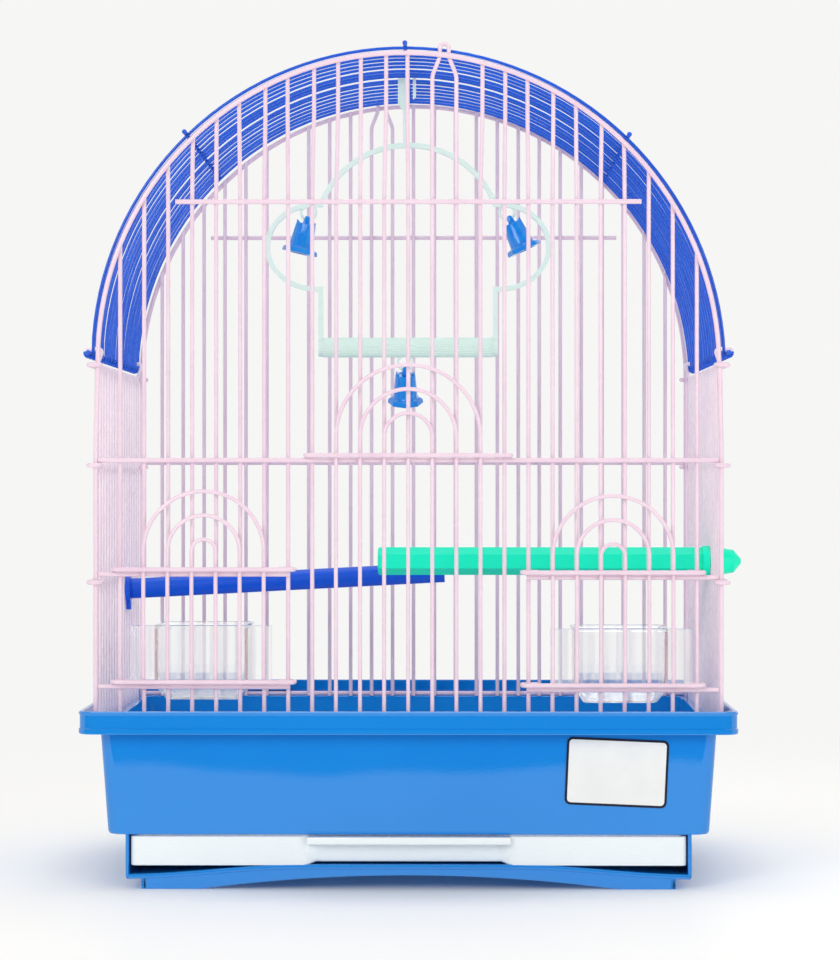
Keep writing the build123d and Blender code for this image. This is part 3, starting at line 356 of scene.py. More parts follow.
# Polished steel bead
def beadSteel(name, values):
    v = grainValues["steel"]
    finish, tree, shader, place = newFinish(name)
    drift = addRange(tree, addNoise(tree, place, v["driftScale"], 3), 0, 1)
    colour = addColourMix(tree, drift, tint(*values["colour"]), tint(*values["drift"]))
    tree.links.new(colour, shader.inputs["Base Color"])
    shader.inputs["Metallic"].default_value = 1.0
    sheen = addRange(tree, addNoise(tree, place, v["sheenScale"], 3), *v["sheen"])
    tree.links.new(sheen, shader.inputs["Roughness"])
    addBump(tree, shader, addNoise(tree, place, v["grainScale"], 2), *v["grain"])
    return finish


finishValues = {
    "pinkWire": {"colour": (243, 219, 231), "drift": (236, 208, 224), "speck": (216, 190, 208),
                 "gloss": 0.2, "coat": 0.25},
    # Rear panel: a darker, more purple copy of the pink enamel, painted shade for the panel that faces away
    # from the lamps
    "shadedRearWire": {"colour": (236, 214, 230), "drift": (228, 203, 223), "speck": (200, 178, 204),
                 "gloss": 0.26, "coat": 0.2},
    # Side panels: a paler copy of the pink enamel, painted light so the side panels read brighter than the
    # front
    "litSideWire": {"colour": (252, 236, 244), "drift": (246, 228, 240), "speck": (220, 198, 216),
                 "gloss": 0.2, "coat": 0.25},
    "blueWire": {"colour": (26, 98, 222), "drift": (20, 86, 210), "speck": (20, 60, 178),
                 "gloss": 0.2, "coat": 0.2, "shine": 0.4},
    "blueBase": {"colour": (22, 139, 224), "drift": (16, 131, 218), "gloss": 0.02, "glossSpread": 0.03,
                 "shine": 0.7, "flowScale": 6, "grain": 900},
    "whiteDrawer": {"colour": (242, 247, 247), "drift": (235, 242, 243), "gloss": 0.2},
    "clearCup": {"colour": (255, 255, 255), "drift": (248, 251, 255), "ior": 1.3, "clear": 1.0,
                 "thin": 0.3, "firm": 1.0},
    "cupEdge": {"colour": (236, 190, 190), "drift": (214, 164, 170), "ior": 1.2, "clear": 0.3,
                "thin": 0.4, "firm": 0.7},
    "mintSwing": {"colour": (232, 251, 243), "drift": (222, 246, 235), "gloss": 0.3, "glow": 0.1},
    "blueBell": {"colour": (20, 150, 238), "drift": (10, 124, 226), "gloss": 0.08, "coat": 0.5,
                 "flowScale": 260},
    "beadSteel": {"colour": (200, 200, 204), "drift": (170, 170, 176)},
    "greenPerch": {"colour": (20, 255, 206), "drift": (18, 248, 198), "gloss": 0.3, "shine": 0.2},
    "bluePerch": {"colour": (24, 98, 232), "drift": (18, 84, 220), "gloss": 0.24, "shine": 0.3},
    "labelPaper": {"colour": (240, 240, 236), "drift": (230, 231, 230), "gloss": 0.35, "flowScale": 60},
    "labelInk": {"colour": (22, 30, 58), "drift": (16, 22, 44), "gloss": 0.3},
}
finishKinds = [
    (wireEnamel, "pinkWire", "pinkEnamel"),
    (wireEnamel, "shadedRearWire", "pinkEnamelPaintedShade"),
    (wireEnamel, "litSideWire", "pinkEnamelPaintedLight"),
    (wireEnamel, "blueWire", "blueEnamel"),
    (mouldedPlastic, "blueBase", "blueMoulding"),
    (mouldedPlastic, "whiteDrawer", "whiteMoulding"),
    (clearPlastic, "clearCup", "clearStyrene"),
    (clearPlastic, "cupEdge", "clearStyreneEdge"),
    (mouldedPlastic, "mintSwing", "mintMoulding"),
    (mouldedPlastic, "blueBell", "blueBellMoulding"),
    (beadSteel, "beadSteel", "beadSteel"),
    (mouldedPlastic, "greenPerch", "greenMoulding"),
    (mouldedPlastic, "bluePerch", "bluePerchMoulding"),
    (mouldedPlastic, "labelPaper", "labelPaper"),
    (mouldedPlastic, "labelInk", "labelInk"),
]
finishes = {key: make(name, finishValues[key]) for make, key, name in finishKinds}

finishByNode = {
    "pinkWire": ["front_arch", "front_hanger", "front_rails", "front_bars", "left_rails", "right_rails",
                 "main_door_rails", "main_door_wires", "left_door_rails", "left_door_wires",
                 "right_door_rails", "right_door_wires"],
    # the side wires and hooks take the paler painted-light copy of the pink enamel
    "litSideWire": ["left_wires", "right_wires", "left_hooks", "right_hooks"],
    # the rear panel and its welds take the darker painted-shade copy of the pink enamel
    "shadedRearWire": ["rear_arch", "rear_hanger", "rear_rails", "rear_bars"],
    "blueWire": ["dome_wires", "dome_stays"],
    "blueBase": ["base_body", "drawer_guide"],
    "whiteDrawer": ["drawer"],
    "clearCup": ["cup_left", "cup_right"],
    "mintSwing": ["swing_frame", "swing_perch"],
    "blueBell": ["bell_left", "bell_right", "bell_low"],
    "beadSteel": ["clapper_left", "clapper_right", "clapper_low"],
    "greenPerch": ["green_perch", "green_perch_knob"],
    "bluePerch": ["blue_perch", "blue_perch_knob"],
    "labelPaper": ["label_plate"],
}


def dressNode(name, finish):
    mesh = cadNodes[name].data
    mesh.materials.clear()
    mesh.materials.append(finish)


for finishName, nodeNames in finishByNode.items():
    for nodeName in nodeNames:
        dressNode(nodeName, finishes[finishName])
print("stage: finishes are on the cage's own parts")


# Shared shaping tools
def putPiece(name, shape, finish, body, sharp=35):
    bmesh.ops.remove_doubles(shape, verts=shape.verts[:], dist=0.00001)
    bmesh.ops.recalc_face_normals(shape, faces=shape.faces[:])
    mesh = bpy.data.meshes.new(name)
    shape.to_mesh(mesh)
    shape.free()
    mesh.polygons.foreach_set("use_smooth", [True] * len(mesh.polygons))
    mesh.set_sharp_from_angle(angle=radians(sharp))
    mesh.materials.append(finish)
    piece = bpy.data.objects.new(name, mesh)
    bpy.context.collection.objects.link(piece)
    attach(piece, body)
    return piece


# Grows a skin through rings of points in millimetres, every ring with the same count
def growSkin(shape, rings, closed=False, capStart=False, capEnd=False):
    turns = shape.verts.layers.int.get("turn") or shape.verts.layers.int.new("turn")
    circle = bmesh.ops.create_circle(shape, cap_ends=False, radius=1, segments=len(rings[0]))["verts"]
    for turn, point in enumerate(circle):
        point[turns] = turn
    loop = list({edge for point in circle for edge in point.link_edges})
    firstLoop = loop
    points = circle
    for number, ring in enumerate(rings):
        if number:
            grown = bmesh.ops.extrude_edge_only(shape, edges=loop)["geom"]
            points = [item for item in grown if isinstance(item, bmesh.types.BMVert)]
            loop = [item for item in grown if isinstance(item, bmesh.types.BMEdge)
                    and all(end in points for end in item.verts)]
        for point in points:
            point.co = Vector(ring[point[turns]]) * mm
    if closed:
        bmesh.ops.bridge_loops(shape, edges=firstLoop + loop)
    if capStart:
        bmesh.ops.contextual_create(shape, geom=firstLoop)
    if capEnd:
        bmesh.ops.contextual_create(shape, geom=loop)


# A rounded rectangle as a ring of 4 * (cornerSteps + 1) points
def roundedRing(halfX, halfY, z, corner, cornerSteps=6, centre=(0, 0)):
    ring = []
    for turn in range(4 * (cornerSteps + 1)):
        quadrant, step = divmod(turn, cornerSteps + 1)
        angle = (quadrant + step / cornerSteps) * pi / 2
        signX = 1 if quadrant in (0, 3) else -1
        signY = 1 if quadrant in (0, 1) else -1
        ring.append((centre[0] + signX * (halfX - corner) + corner * cos(angle),
                     centre[1] + signY * (halfY - corner) + corner * sin(angle), z))
    return ring


# A wire with softly rounded ends along a path of points, all in millimetres
def addTube(shape, path, radius, sides=10, soft=0.35):
    path = [Vector(point) for point in path]
    startWay = (path[1] - path[0]).normalized()
    endWay = (path[-1] - path[-2]).normalized()
    cut = soft * radius
    stations = [(path[0], startWay, radius - cut), (path[0] + startWay * cut, startWay, radius)]
    for before, here, after in zip(path, path[1:], path[2:]):
        stations.append((here, (after - before).normalized(), radius))
    stations += [(path[-1] - endWay * cut, endWay, radius), (path[-1], endWay, radius - cut)]
    side = startWay.orthogonal().normalized()
    rings = []
    for place, way, reach in stations:
        side = (side - way * side.dot(way)).normalized()
        up = way.cross(side)
        rings.append([place + (side * cos(turn * tau / sides) + up * sin(turn * tau / sides)) * reach
                      for turn in range(sides)])
    growSkin(shape, rings, capStart=True, capEnd=True)


# A block between two corners; bend moves its own corners before the edges are rounded
def addBlock(shape, low, high, bevel=0.3, segments=2, bend=None):
    low, high = Vector(low) * mm, Vector(high) * mm
    made = bmesh.ops.create_cube(shape, size=1)["verts"]
    bmesh.ops.scale(shape, vec=high - low, verts=made)
    bmesh.ops.translate(shape, vec=(low + high) / 2, verts=made)
    if bend:
        for point in made:
            bend(point)
    if bevel:
        edges = list({edge for point in made for edge in point.link_edges})
        bmesh.ops.bevel(shape, geom=edges, offset=bevel * mm, segments=segments, profile=0.5,
                        affect="EDGES", material=-1)


def addBead(shape, place, radius, stretch=(1, 1, 1), fine=1):
    made = bmesh.ops.create_icosphere(shape, subdivisions=fine, radius=radius * mm)["verts"]
    bmesh.ops.scale(shape, vec=stretch, verts=made)
    bmesh.ops.translate(shape, vec=Vector(place) * mm, verts=made)


# Even steps between two values, and a soft rise from 0 to 1
def steps(start, end, count):
    return [start + (end - start) * number / count for number in range(count + 1)]


def softRise(value):
    value = min(max(value, 0), 1)
    return value * value * (3 - 2 * value)


# The wire panels are bent by hand: radii drift a little round the arch
wireValues = {
    "spring": 251.1, "legX": 149.0, "barY": 114.0, "archY": 116.22, "pitch": 298 / 26,
    "bar": 1.0, "archWire": 1.15, "archR": 148.0, "archLean": 0.9, "foot": 77.8, "barFoot": 77.72,
    "mid": 205.0, "lower": 150.7, "sill": 97.1, "drop": 1.5, "rail": 1.15,
    "domeR": 150.9, "domeLean": 1.0, "domeWire": 0.82, "domeFirst": -111.8, "domePitch": 13.975,
    "stay": 1.05, "stayR": 152.6, "stayEnd": 116.6, "ridgeX": -1.6, "ridgeZ": 403.86,
    "eaveX": 152.67, "eaveZ": 256.4, "curl": 2.0, "curlTurn": 200, "barPast": 0.7,
    "leanFrom": 326, "leanOver": 50, "shoulderTurn": 44, "stayBlob": 1.25,
    "legSteps": (140, 190, 212), "legBend": 232, "legIn": 0.5, "stubMiddle": 88,
    "lastBar": 12, "hangerBars": (1, 2), "doorBar": 3, "feederBars": range(6, 12),
    "barDrift": {-11: 0.3, -10: -0.4, -9: 0.5, -8: 0.2, -7: -0.5, -6: 0.6, -5: -0.3, -4: 0.9, -3: 0.9,
                 -2: 0.3, -1: 0.9, 0: -0.4, 3: 1.0, 4: 0.4, 5: -0.5, 6: 0.4, 7: -0.3, 8: 0.6, 9: -0.5,
                 10: 0.3, 11: -0.3},
    "otherDrift": 0.2,
    "domeGaps": (0, 0.6, 1.9, 1.4, 1.6, 1.4, 4.1, 2.2, -2.0, 2.6, -3.6, -2.0, -1.0, -0.6, 0.4, 1.2, 0),
    "nextToLast": -1.6, "wander": ((1.2, 2.3, 1.7), (0.5, 5.1, 2.9)), "lastHold": 0.15,
}


def leaningCircle(angle, radius, lean):
    reach = radius - lean * sin(2 * angle)
    return reach * cos(angle), wireValues["spring"] + reach * sin(angle)


def buildFrontArch():
    v = wireValues
    y = -v["archY"]
    turns = steps(pi, 0, 72)
    bow = [leaningCircle(angle, v["archR"], v["archLean"]) for angle in turns]
    legs = [(v["legX"], z) for z in (v["foot"], *v["legSteps"])]
    legs.append((v["legX"] - v["legIn"], v["legBend"]))
    path = [(-x, y, z) for x, z in legs] + [(x, y, z) for x, z in bow] + [(x, y, z) for x, z in legs[::-1]]
    shape = bmesh.new()
    addTube(shape, path, v["archWire"], sides=12)
    piece = putPiece("frontArch", shape, finishes["pinkWire"], "cage")
    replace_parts(piece, "front_arch")


# Height of the front arch over a bar, found by halving the arch's turn
def archTop(x):
    v = wireValues
    low, high = 0.02, pi - 0.02
    for halving in range(30):
        middle = (low + high) / 2
        if leaningCircle(middle, v["archR"], v["archLean"])[0] > x:
            low = middle
        else:
            high = middle
    return leaningCircle(low, v["archR"], v["archLean"])[1]


def buildFrontBars():
    v = wireValues
    shape = bmesh.new()
    for bar in range(-v["lastBar"], v["lastBar"] + 1):
        if bar in v["hangerBars"]:
            continue
        x = bar * v["pitch"]
        lean = v["barDrift"].get(bar, v["otherDrift"])
        top = archTop(x + lean) + v["barPast"]
        drop = v["drop"] if bar > 0 else 0
        foot = v["barFoot"]
        if abs(bar) <= v["doorBar"]:
            foot = v["mid"] - v["rail"]
        elif abs(bar) in v["feederBars"]:
            foot = v["lower"] - drop - v["rail"]
            stub = (v["barFoot"], v["stubMiddle"], v["sill"] - drop + v["rail"])
            addTube(shape, [(x, -v["barY"], z) for z in stub], v["bar"], soft=0.5)
        path = [(x + lean * softRise((z - v["leanFrom"]) / v["leanOver"]), -v["barY"], z)
                for z in steps(foot, top, 14)]
        addTube(shape, path, v["bar"], soft=0.5)
    piece = putPiece("frontBars", shape, finishes["pinkWire"], "cage")
    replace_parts(piece, "front_bars")


# Dome: thin wires that wander a little, so light shows between some of them
def domeShift(number, angle):
    v = wireValues
    last = len(v["domeGaps"]) - 1
    side = v["nextToLast"] if number in (1, last - 1) else 0.0
    wander = sum(reach * sin(turns * angle + offset * number) for reach, turns, offset in v["wander"])
    hold = 1 if 0 < number < last else v["lastHold"]
    return v["domeGaps"][number] * sin(angle) + (side + wander) * abs(cos(angle)) * hold


def buildDome():
    v = wireValues
    shape = bmesh.new()
    foot = atan2(v["eaveZ"] - v["spring"], v["eaveX"])
    for number in range(len(v["domeGaps"])):
        y = v["domeFirst"] + number * v["domePitch"]
        path = []
        for angle in steps(pi - foot, foot, 64):
            x, z = leaningCircle(angle, v["domeR"], v["domeLean"])
            path.append((x, y + domeShift(number, angle), z))
        # each end curls outwards under the lowest stay
        ends = []
        for side, tip in ((-1, path[0]), (1, path[-1])):
            curl = []
            for turn in steps(0, radians(v["curlTurn"]), 9):
                curl.append((side * v["eaveX"] - side * v["curl"] * cos(turn), tip[1],
                             v["eaveZ"] - v["curl"] * sin(turn)))
            ends.append(curl)
        path = ends[0][::-1] + path[1:-1] + ends[1]
        addTube(shape, path, v["domeWire"], sides=8)
    piece = putPiece("domeWires", shape, finishes["blueWire"], "cage", sharp=60)
    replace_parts(piece, "dome_wires")


def buildStays():
    v = wireValues
    shape = bmesh.new()
    places = [(v["ridgeX"], v["ridgeZ"])]
    for side in (-1, 1):
        angle = pi / 2 - side * radians(v["shoulderTurn"])
        x, z = leaningCircle(angle, v["stayR"], v["domeLean"])
        places += [(x, z), (side * v["eaveX"], v["eaveZ"])]
    for x, z in places:
        path = [(x, y, z) for y in steps(-v["stayEnd"], v["stayEnd"], 20)]
        addTube(shape, path, v["stay"], sides=12)
        for end in (-1, 1):
            addBead(shape, (x, end * v["stayEnd"], z), v["stayBlob"], (1, 1.2, 1), fine=2)
    piece = putPiece("domeStays", shape, finishes["blueWire"], "cage", sharp=60)
    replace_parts(piece, "dome_stays")


buildFrontArch()
buildFrontBars()
buildDome()
buildStays()
print("stage: arch, bars and dome are in")


# Moulded base: beaded rim, ledge for the wire body, tapered skirt, turned-in bottom flange
baseValues = {
    "halfX": 157.0, "halfY": 125.5, "wall": 2.2, "rimTop": 85.8, "rimBottom": 74.9,
    "ledge": 77.7, "skirtTopInset": 9.7, "skirtFootInset": 13.0, "skirtFoot": 26.0,
    "flange": 14.0, "flangeTop": 29.4, "bead": 0.5, "beadRise": 2.9, "rimCorner": 8.0,
    "skirtCorner": 6.5, "soft": 0.45, "tabPast": 0.4,
    "tabX": 80.0, "tabWidth": 24.0, "tabIn": 115.3, "tabLow": 80.4, "tabHigh": 82.4, "cornerSteps": 8,
}


def baseLevels():
    v = baseValues
    soft = v["soft"]

    # rings close to the skirt's two ends keep its long face flat in the light
    def skirtRing(z):
        fall = (v["rimBottom"] - z) / (v["rimBottom"] - v["skirtFoot"])
        inset = v["skirtTopInset"] + (v["skirtFootInset"] - v["skirtTopInset"]) * fall
        return inset, z, v["skirtCorner"]

    beadTop = v["rimBottom"] + v["beadRise"]
    wallInset = v["wall"]
    shelfInset = v["skirtTopInset"] + v["wall"]
    innerFootInset = v["skirtFootInset"] + v["wall"]
    flangeInset = v["skirtFootInset"] + v["flange"]
    section = [
        (v["skirtFootInset"] + 1.6, v["skirtFoot"], v["skirtCorner"]),
        (v["skirtFootInset"] + 0.5, v["skirtFoot"] + 0.4, v["skirtCorner"]),
        skirtRing(v["skirtFoot"] + 1.6),
        skirtRing(v["skirtFoot"] + 2.2),
        skirtRing(v["rimBottom"] - soft - 0.6),
        skirtRing(v["rimBottom"] - soft),
        (v["skirtTopInset"] - soft, v["rimBottom"], v["skirtCorner"]),
        (soft, v["rimBottom"], v["rimCorner"] - soft),
        (0, v["rimBottom"] + soft, v["rimCorner"]),
        (0, beadTop - soft, v["rimCorner"]),
        (v["bead"], beadTop, v["rimCorner"] - v["bead"]),
        (v["bead"], v["rimTop"] - 2.0, v["rimCorner"] - v["bead"]),
        (0.1, v["rimTop"] - 1.5, v["rimCorner"]),
        (0, v["rimTop"] - 0.6, v["rimCorner"]),
        (0.6, v["rimTop"], v["rimCorner"] - 0.6),
        (wallInset - 0.5, v["rimTop"], v["rimCorner"] - wallInset + 0.5),
        (wallInset, v["rimTop"] - 0.5, v["rimCorner"] - wallInset),
        (wallInset, v["ledge"] + 0.8, v["rimCorner"] - wallInset),
        (wallInset + 0.8, v["ledge"], v["rimCorner"] - wallInset - 0.8),
        (shelfInset - soft, v["ledge"], v["skirtCorner"] - v["wall"]),
        (shelfInset, v["ledge"] - soft, v["skirtCorner"] - v["wall"]),
        (shelfInset, v["rimBottom"], v["skirtCorner"] - v["wall"]),
        (innerFootInset, v["flangeTop"] + 1.0, v["skirtCorner"] - v["wall"]),
        (innerFootInset + 1.0, v["flangeTop"], v["skirtCorner"] - v["wall"]),
        (flangeInset - soft, v["flangeTop"], v["skirtCorner"] - 2),
        (flangeInset, v["flangeTop"] - soft, v["skirtCorner"] - 2),
        (flangeInset, v["skirtFoot"] + soft, v["skirtCorner"] - 2),
        (flangeInset - soft, v["skirtFoot"], v["skirtCorner"] - 2),
    ]
    return [(v["halfX"] - inset, v["halfY"] - inset, z, corner) for inset, z, corner in section]


def buildBase():
    v = baseValues
    shape = bmesh.new()
    growSkin(shape, [roundedRing(*level, v["cornerSteps"]) for level in baseLevels()], closed=True)
    # hold-down tabs inside the rim, over the foot rails
    farY = v["halfY"] - v["wall"] + v["tabPast"]
    for sideY in (-1, 1):
        for sideX in (-1, 1):
            ends = sorted((sideY * farY, sideY * v["tabIn"]))
            middle = sideX * v["tabX"]
            addBlock(shape, (middle - v["tabWidth"] / 2, ends[0], v["tabLow"]),
                     (middle + v["tabWidth"] / 2, ends[1], v["tabHigh"]), bevel=0.5)
    base = putPiece("mouldedBase", shape, finishes["blueBase"], "cage")
    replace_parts(base, "base_body")


buildBase()
print("stage: moulded base is in")


# Drawer guide: crowned floor with a beaded front edge, thin walls, arched foot ring
guideValues = {
    "halfX": 135.2, "halfY": 110.5, "top": 27.2, "wall": 1.5, "wallCorner": 2.5, "wallSink": 2.0,
    "sideFloor": 7.1, "midFloor": 11.7, "plate": 2.4, "plateInset": 0.6, "crownReach": 84.0,
    "bead": 1.25, "beadSink": 1.1, "edgeBead": 0.95, "edgeSink": 1.2, "edgeInset": 0.8,
    "footX": 127.8, "footBack": 104.0, "footFront": 111.0, "footWall": 2.6, "footSink": 1.0,
    "archHalf": 100.0, "archRise": 6.6, "soft": 0.3,
}


def guideCrown(x):
    v = guideValues
    rise = softRise((v["halfX"] - abs(x)) / v["crownReach"])
    return v["sideFloor"] + (v["midFloor"] - v["sideFloor"]) * rise


def buildGuide():
    v = guideValues
    shape = bmesh.new()
    rings, footFront, footBack = [], [], []
    soft = v["soft"]
    plateEnd = v["halfX"] - v["plateInset"]
    for x in steps(-plateEnd, plateEnd, 60):
        top, back = guideCrown(x), v["halfY"] - v["plateInset"]
        rings.append([(x, -v["halfY"], top), (x, back, top), (x, back, top - v["plate"]),
                      (x, -v["halfY"], top - v["plate"])])
    growSkin(shape, rings, capStart=True, capEnd=True)
    for x in steps(-v["footX"], v["footX"], 64):
        top = guideCrown(x) - v["footSink"]
        low = v["archRise"] * max(0, 1 - (x / v["archHalf"]) ** 2)
        for end, outside, found in ((-1, v["footFront"], footFront), (1, v["footBack"], footBack)):
            inside = outside - v["footWall"]
            section = [(outside, top), (inside, top), (inside, low + 0.2), (inside + 0.2, low),
                       (outside - soft, low), (outside, low + soft)]
            found.append([(x, end * y, z) for y, z in section])
    growSkin(shape, footFront, capStart=True, capEnd=True)
    growSkin(shape, footBack, capStart=True, capEnd=True)
    wallRings = []
    bend = v["wallCorner"]
    run = [(-v["halfX"], -v["halfY"], -1, 0)]
    for side in (-1, 1):
        middle = (side * (v["halfX"] - bend), v["halfY"] - bend)
        turns = steps(pi, pi / 2, 6) if side < 0 else steps(pi / 2, 0, 6)
        run += [(middle[0] + bend * cos(turn), middle[1] + bend * sin(turn), cos(turn), sin(turn))
                for turn in turns]
    run.append((v["halfX"], -v["halfY"], 1, 0))
    low, high = v["sideFloor"] - v["wallSink"], v["top"]
    for x, y, outX, outY in run:
        section = [(0, low + soft), (0, high), (v["wall"], high), (v["wall"], low), (soft, low)]
        wallRings.append([(x - outX * depth, y - outY * depth, z) for depth, z in section])
    growSkin(shape, wallRings, capStart=True, capEnd=True)
    beadEnd = v["halfX"] - v["edgeInset"]
    for side in (-1, 1):
        ends = sorted((side * v["footX"], side * (v["footX"] - v["footWall"])))
        addBlock(shape, (ends[0], -v["footFront"], 0), (ends[1], v["footBack"], v["sideFloor"]), soft)
        heights = steps(v["sideFloor"] - v["edgeSink"], v["top"], 4)
        addTube(shape, [(side * beadEnd, -v["halfY"], z) for z in heights], v["edgeBead"], sides=10)
    bead = [(x, -v["halfY"], guideCrown(x) - v["beadSink"]) for x in steps(-beadEnd, beadEnd, 60)]
    addTube(shape, bead, v["bead"], sides=12)
    guide = putPiece("drawerGuide", shape, finishes["blueBase"], "cage")
    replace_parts(guide, "drawer_guide")


# Drawer: rounded tray whose front is hollowed under the handle lip
drawerValues = {
    "halfX": 132.9, "frontY": -111.5, "backY": 107.8, "low": 11.15, "top": 25.3, "wall": 1.8,
    "corner": 3.0, "hollow": 3.6, "hollowHalf": 43.6, "hollowStep": 6.0, "hollowLift": 1.7,
    "lipLow": -48.5, "lipHigh": 49.0, "lipY": -115.4, "lipBottom": 21.6, "floor": 1.5,
    "soft": 0.4, "footSoft": 1.2, "footRound": 0.35, "lipSoft": 0.8, "joinLap": 0.2, "floorLap": 0.5,
    "lipLap": 1.0,
}


def buildDrawer():
    v = drawerValues
    top, wall, soft, foot = v["top"], v["wall"], v["soft"], v["footSoft"]
    shape = bmesh.new()
    rings = []
    cornerRun = [v["corner"] * sin(angle) for angle in steps(0, pi / 2, 6)]
    straight = v["halfX"] - v["corner"]
    stations = [-straight - run for run in cornerRun[::-1]]
    stations += steps(-straight, straight, 88)[1:-1]
    stations += [straight + run for run in cornerRun]
    for x in stations:
        past = max(0, abs(x) - straight)
        back = v["corner"] - sqrt(max(0, v["corner"] ** 2 - past**2))
        inward = softRise((v["hollowHalf"] + v["hollowStep"] - abs(x)) / v["hollowStep"])
        y = v["frontY"] + back + v["hollow"] * inward
        low = v["low"] + v["hollowLift"] * inward
        rings.append([(x, y, low + foot), (x, y, top - soft), (x, y + soft, top),
                      (x, y + wall - soft, top), (x, y + wall, top - soft), (x, y + wall, low + soft),
                      (x, y + wall - soft, low), (x, y + foot, low),
                      (x, y + v["footRound"], low + v["footRound"])])
    growSkin(shape, rings, capStart=True, capEnd=True)
    inner = v["halfX"] - wall
    joinY = v["frontY"] + v["corner"] - v["joinLap"]
    for side in (-1, 1):
        ends = sorted((side * inner, side * v["halfX"]))
        addBlock(shape, (ends[0], joinY, v["low"]), (ends[1], v["backY"], top), soft)
    floor = v["low"] + v["hollowLift"]
    floorX, floorBack = inner + v["floorLap"], v["backY"] - v["floorLap"]
    lipBack = v["frontY"] + v["hollow"] + v["lipLap"]
    addBlock(shape, (-v["halfX"], v["backY"] - wall, floor), (v["halfX"], v["backY"], top), soft)
    addBlock(shape, (-floorX, lipBack, floor), (floorX, floorBack, floor + v["floor"]), 0)
    addBlock(shape, (v["lipLow"], v["lipY"], v["lipBottom"]), (v["lipHigh"], lipBack, top), v["lipSoft"])
    drawer = putPiece("slideDrawer", shape, finishes["whiteDrawer"], "drawer", sharp=40)
    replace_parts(drawer, "drawer")


# Blank label: pale plate inside a dark rounded border, stuck on a little askew
labelValues = {
    "halfX": 24.3, "halfY": 16.25, "corner": 2.7, "border": 1.1, "thick": 0.35, "askew": -2.4,
    "middle": (99.4, -114.55, 56.2), "lean": 3.9,
}


def placeLabelPart(name, shape, finish):
    v = labelValues
    place = (Matrix.Translation(Vector(v["middle"]) * mm) @ Matrix.Rotation(radians(90 + v["lean"]), 4, "X")
             @ Matrix.Rotation(radians(v["askew"]), 4, "Z"))
    bmesh.ops.transform(shape, matrix=place, verts=shape.verts[:])
    return putPiece(name, shape, finish, "cage")


def buildLabel():
    v = labelValues
    x, y, corner, thick, border = v["halfX"], v["halfY"], v["corner"], v["thick"], v["border"]
    plate = bmesh.new()
    growSkin(plate, [roundedRing(x, y, -0.3, corner), roundedRing(x, y, thick - 0.1, corner),
                     roundedRing(x - 0.1, y - 0.1, thick, corner - 0.1)], capStart=True, capEnd=True)
    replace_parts(placeLabelPart("labelPlate", plate, finishes["labelPaper"]), "label_plate")
    edge = bmesh.new()
    levels = [(0, -0.2), (0, thick + 0.02), (0.12, thick + 0.12), (border - 0.12, thick + 0.12),
              (border, thick + 0.02), (border, thick - 0.2)]
    growSkin(edge, [roundedRing(x - inset, y - inset, z, corner - inset * 0.8) for inset, z in levels],
             closed=True)
    placeLabelPart("labelBorder", edge, finishes["labelInk"])


buildGuide()
buildDrawer()
buildLabel()
print("stage: guide, drawer and label are in")


# Feeder cups: clear bowl with a stepped, narrowing floor and two hanging wings
cupValues = {
    "halfX": 22.3, "halfY": 21.25, "corner": 3.0, "wall": 1.5, "bottom": 90.4, "top": 126.3,
    "slope": 6.0, "taper": 4.6, "step": 0.8, "frontY": -112.4, "wingHalf": 33.8, "wingFront": -116.72,
    "wingBottom": 98.4, "wingThick": 2.0,
}


def buildCup(name, node, body, middle, drop):
    v = cupValues
    bottom, top = v["bottom"] - drop, v["top"] - drop
    wingBottom = v["wingBottom"] - drop
    slopeTop = bottom + v["slope"]
    centre = (middle, v["frontY"] + v["halfY"])

    def level(inset, z, corner):
        return roundedRing(v["halfX"] - inset, v["halfY"] - inset, z, corner, 5, centre)

    shape = bmesh.new()
    growSkin(shape, [
        level(v["taper"] + 1, bottom, 1.4),
        level(v["taper"], bottom + 0.4, 1.8),
        level(v["step"], slopeTop - 0.3, 2.4),
        level(0.0, slopeTop, v["corner"]),
        level(0.0, top - 1.6, v["corner"]),
        level(-0.5, top - 1.2, v["corner"] + 0.5),
        level(-0.5, top - 0.3, v["corner"] + 0.5),
        level(0.0, top, v["corner"]),
        level(v["wall"] - 0.3, top, v["corner"] - 1.2),
        level(v["wall"], top - 0.4, v["corner"] - 1.5),
        level(v["wall"], slopeTop + 0.4, v["corner"] - 1.5),
        level(v["wall"] + v["step"], slopeTop, 1.4),
        level(v["wall"] + v["taper"], bottom + v["wall"] + 0.3, 1.2),
        level(v["wall"] + v["taper"] + 1, bottom + v["wall"], 1.0),
    ], capStart=True, capEnd=True)
    # wings and the webs that carry them
    wingBack = v["wingFront"] + v["wingThick"]
    webs = bmesh.new()
    for side in (-1, 1):
        inner = middle + side * (v["halfX"] - v["wall"])
        outer = middle + side * v["wingHalf"]
        ends = sorted((inner, outer))
        addBlock(shape, (ends[0], v["wingFront"], wingBottom), (ends[1], wingBack, top), bevel=0.4)
        web = sorted((inner, middle + side * v["halfX"]))
        addBlock(webs, (web[0], wingBack + 0.1, wingBottom), (web[1], v["frontY"] - 0.1, top - 1.7),
                 bevel=0.2)
    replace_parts(putPiece(name, shape, finishes["clearCup"], body), node)
    putPiece(name + "Webs", webs, finishes["cupEdge"], body)


buildCup("leftCup", "cup_left", "left_cup", -98.8, 0)
buildCup("rightCup", "cup_right", "right_cup", 101.4, 1.5)
print("stage: feeder cups are in")


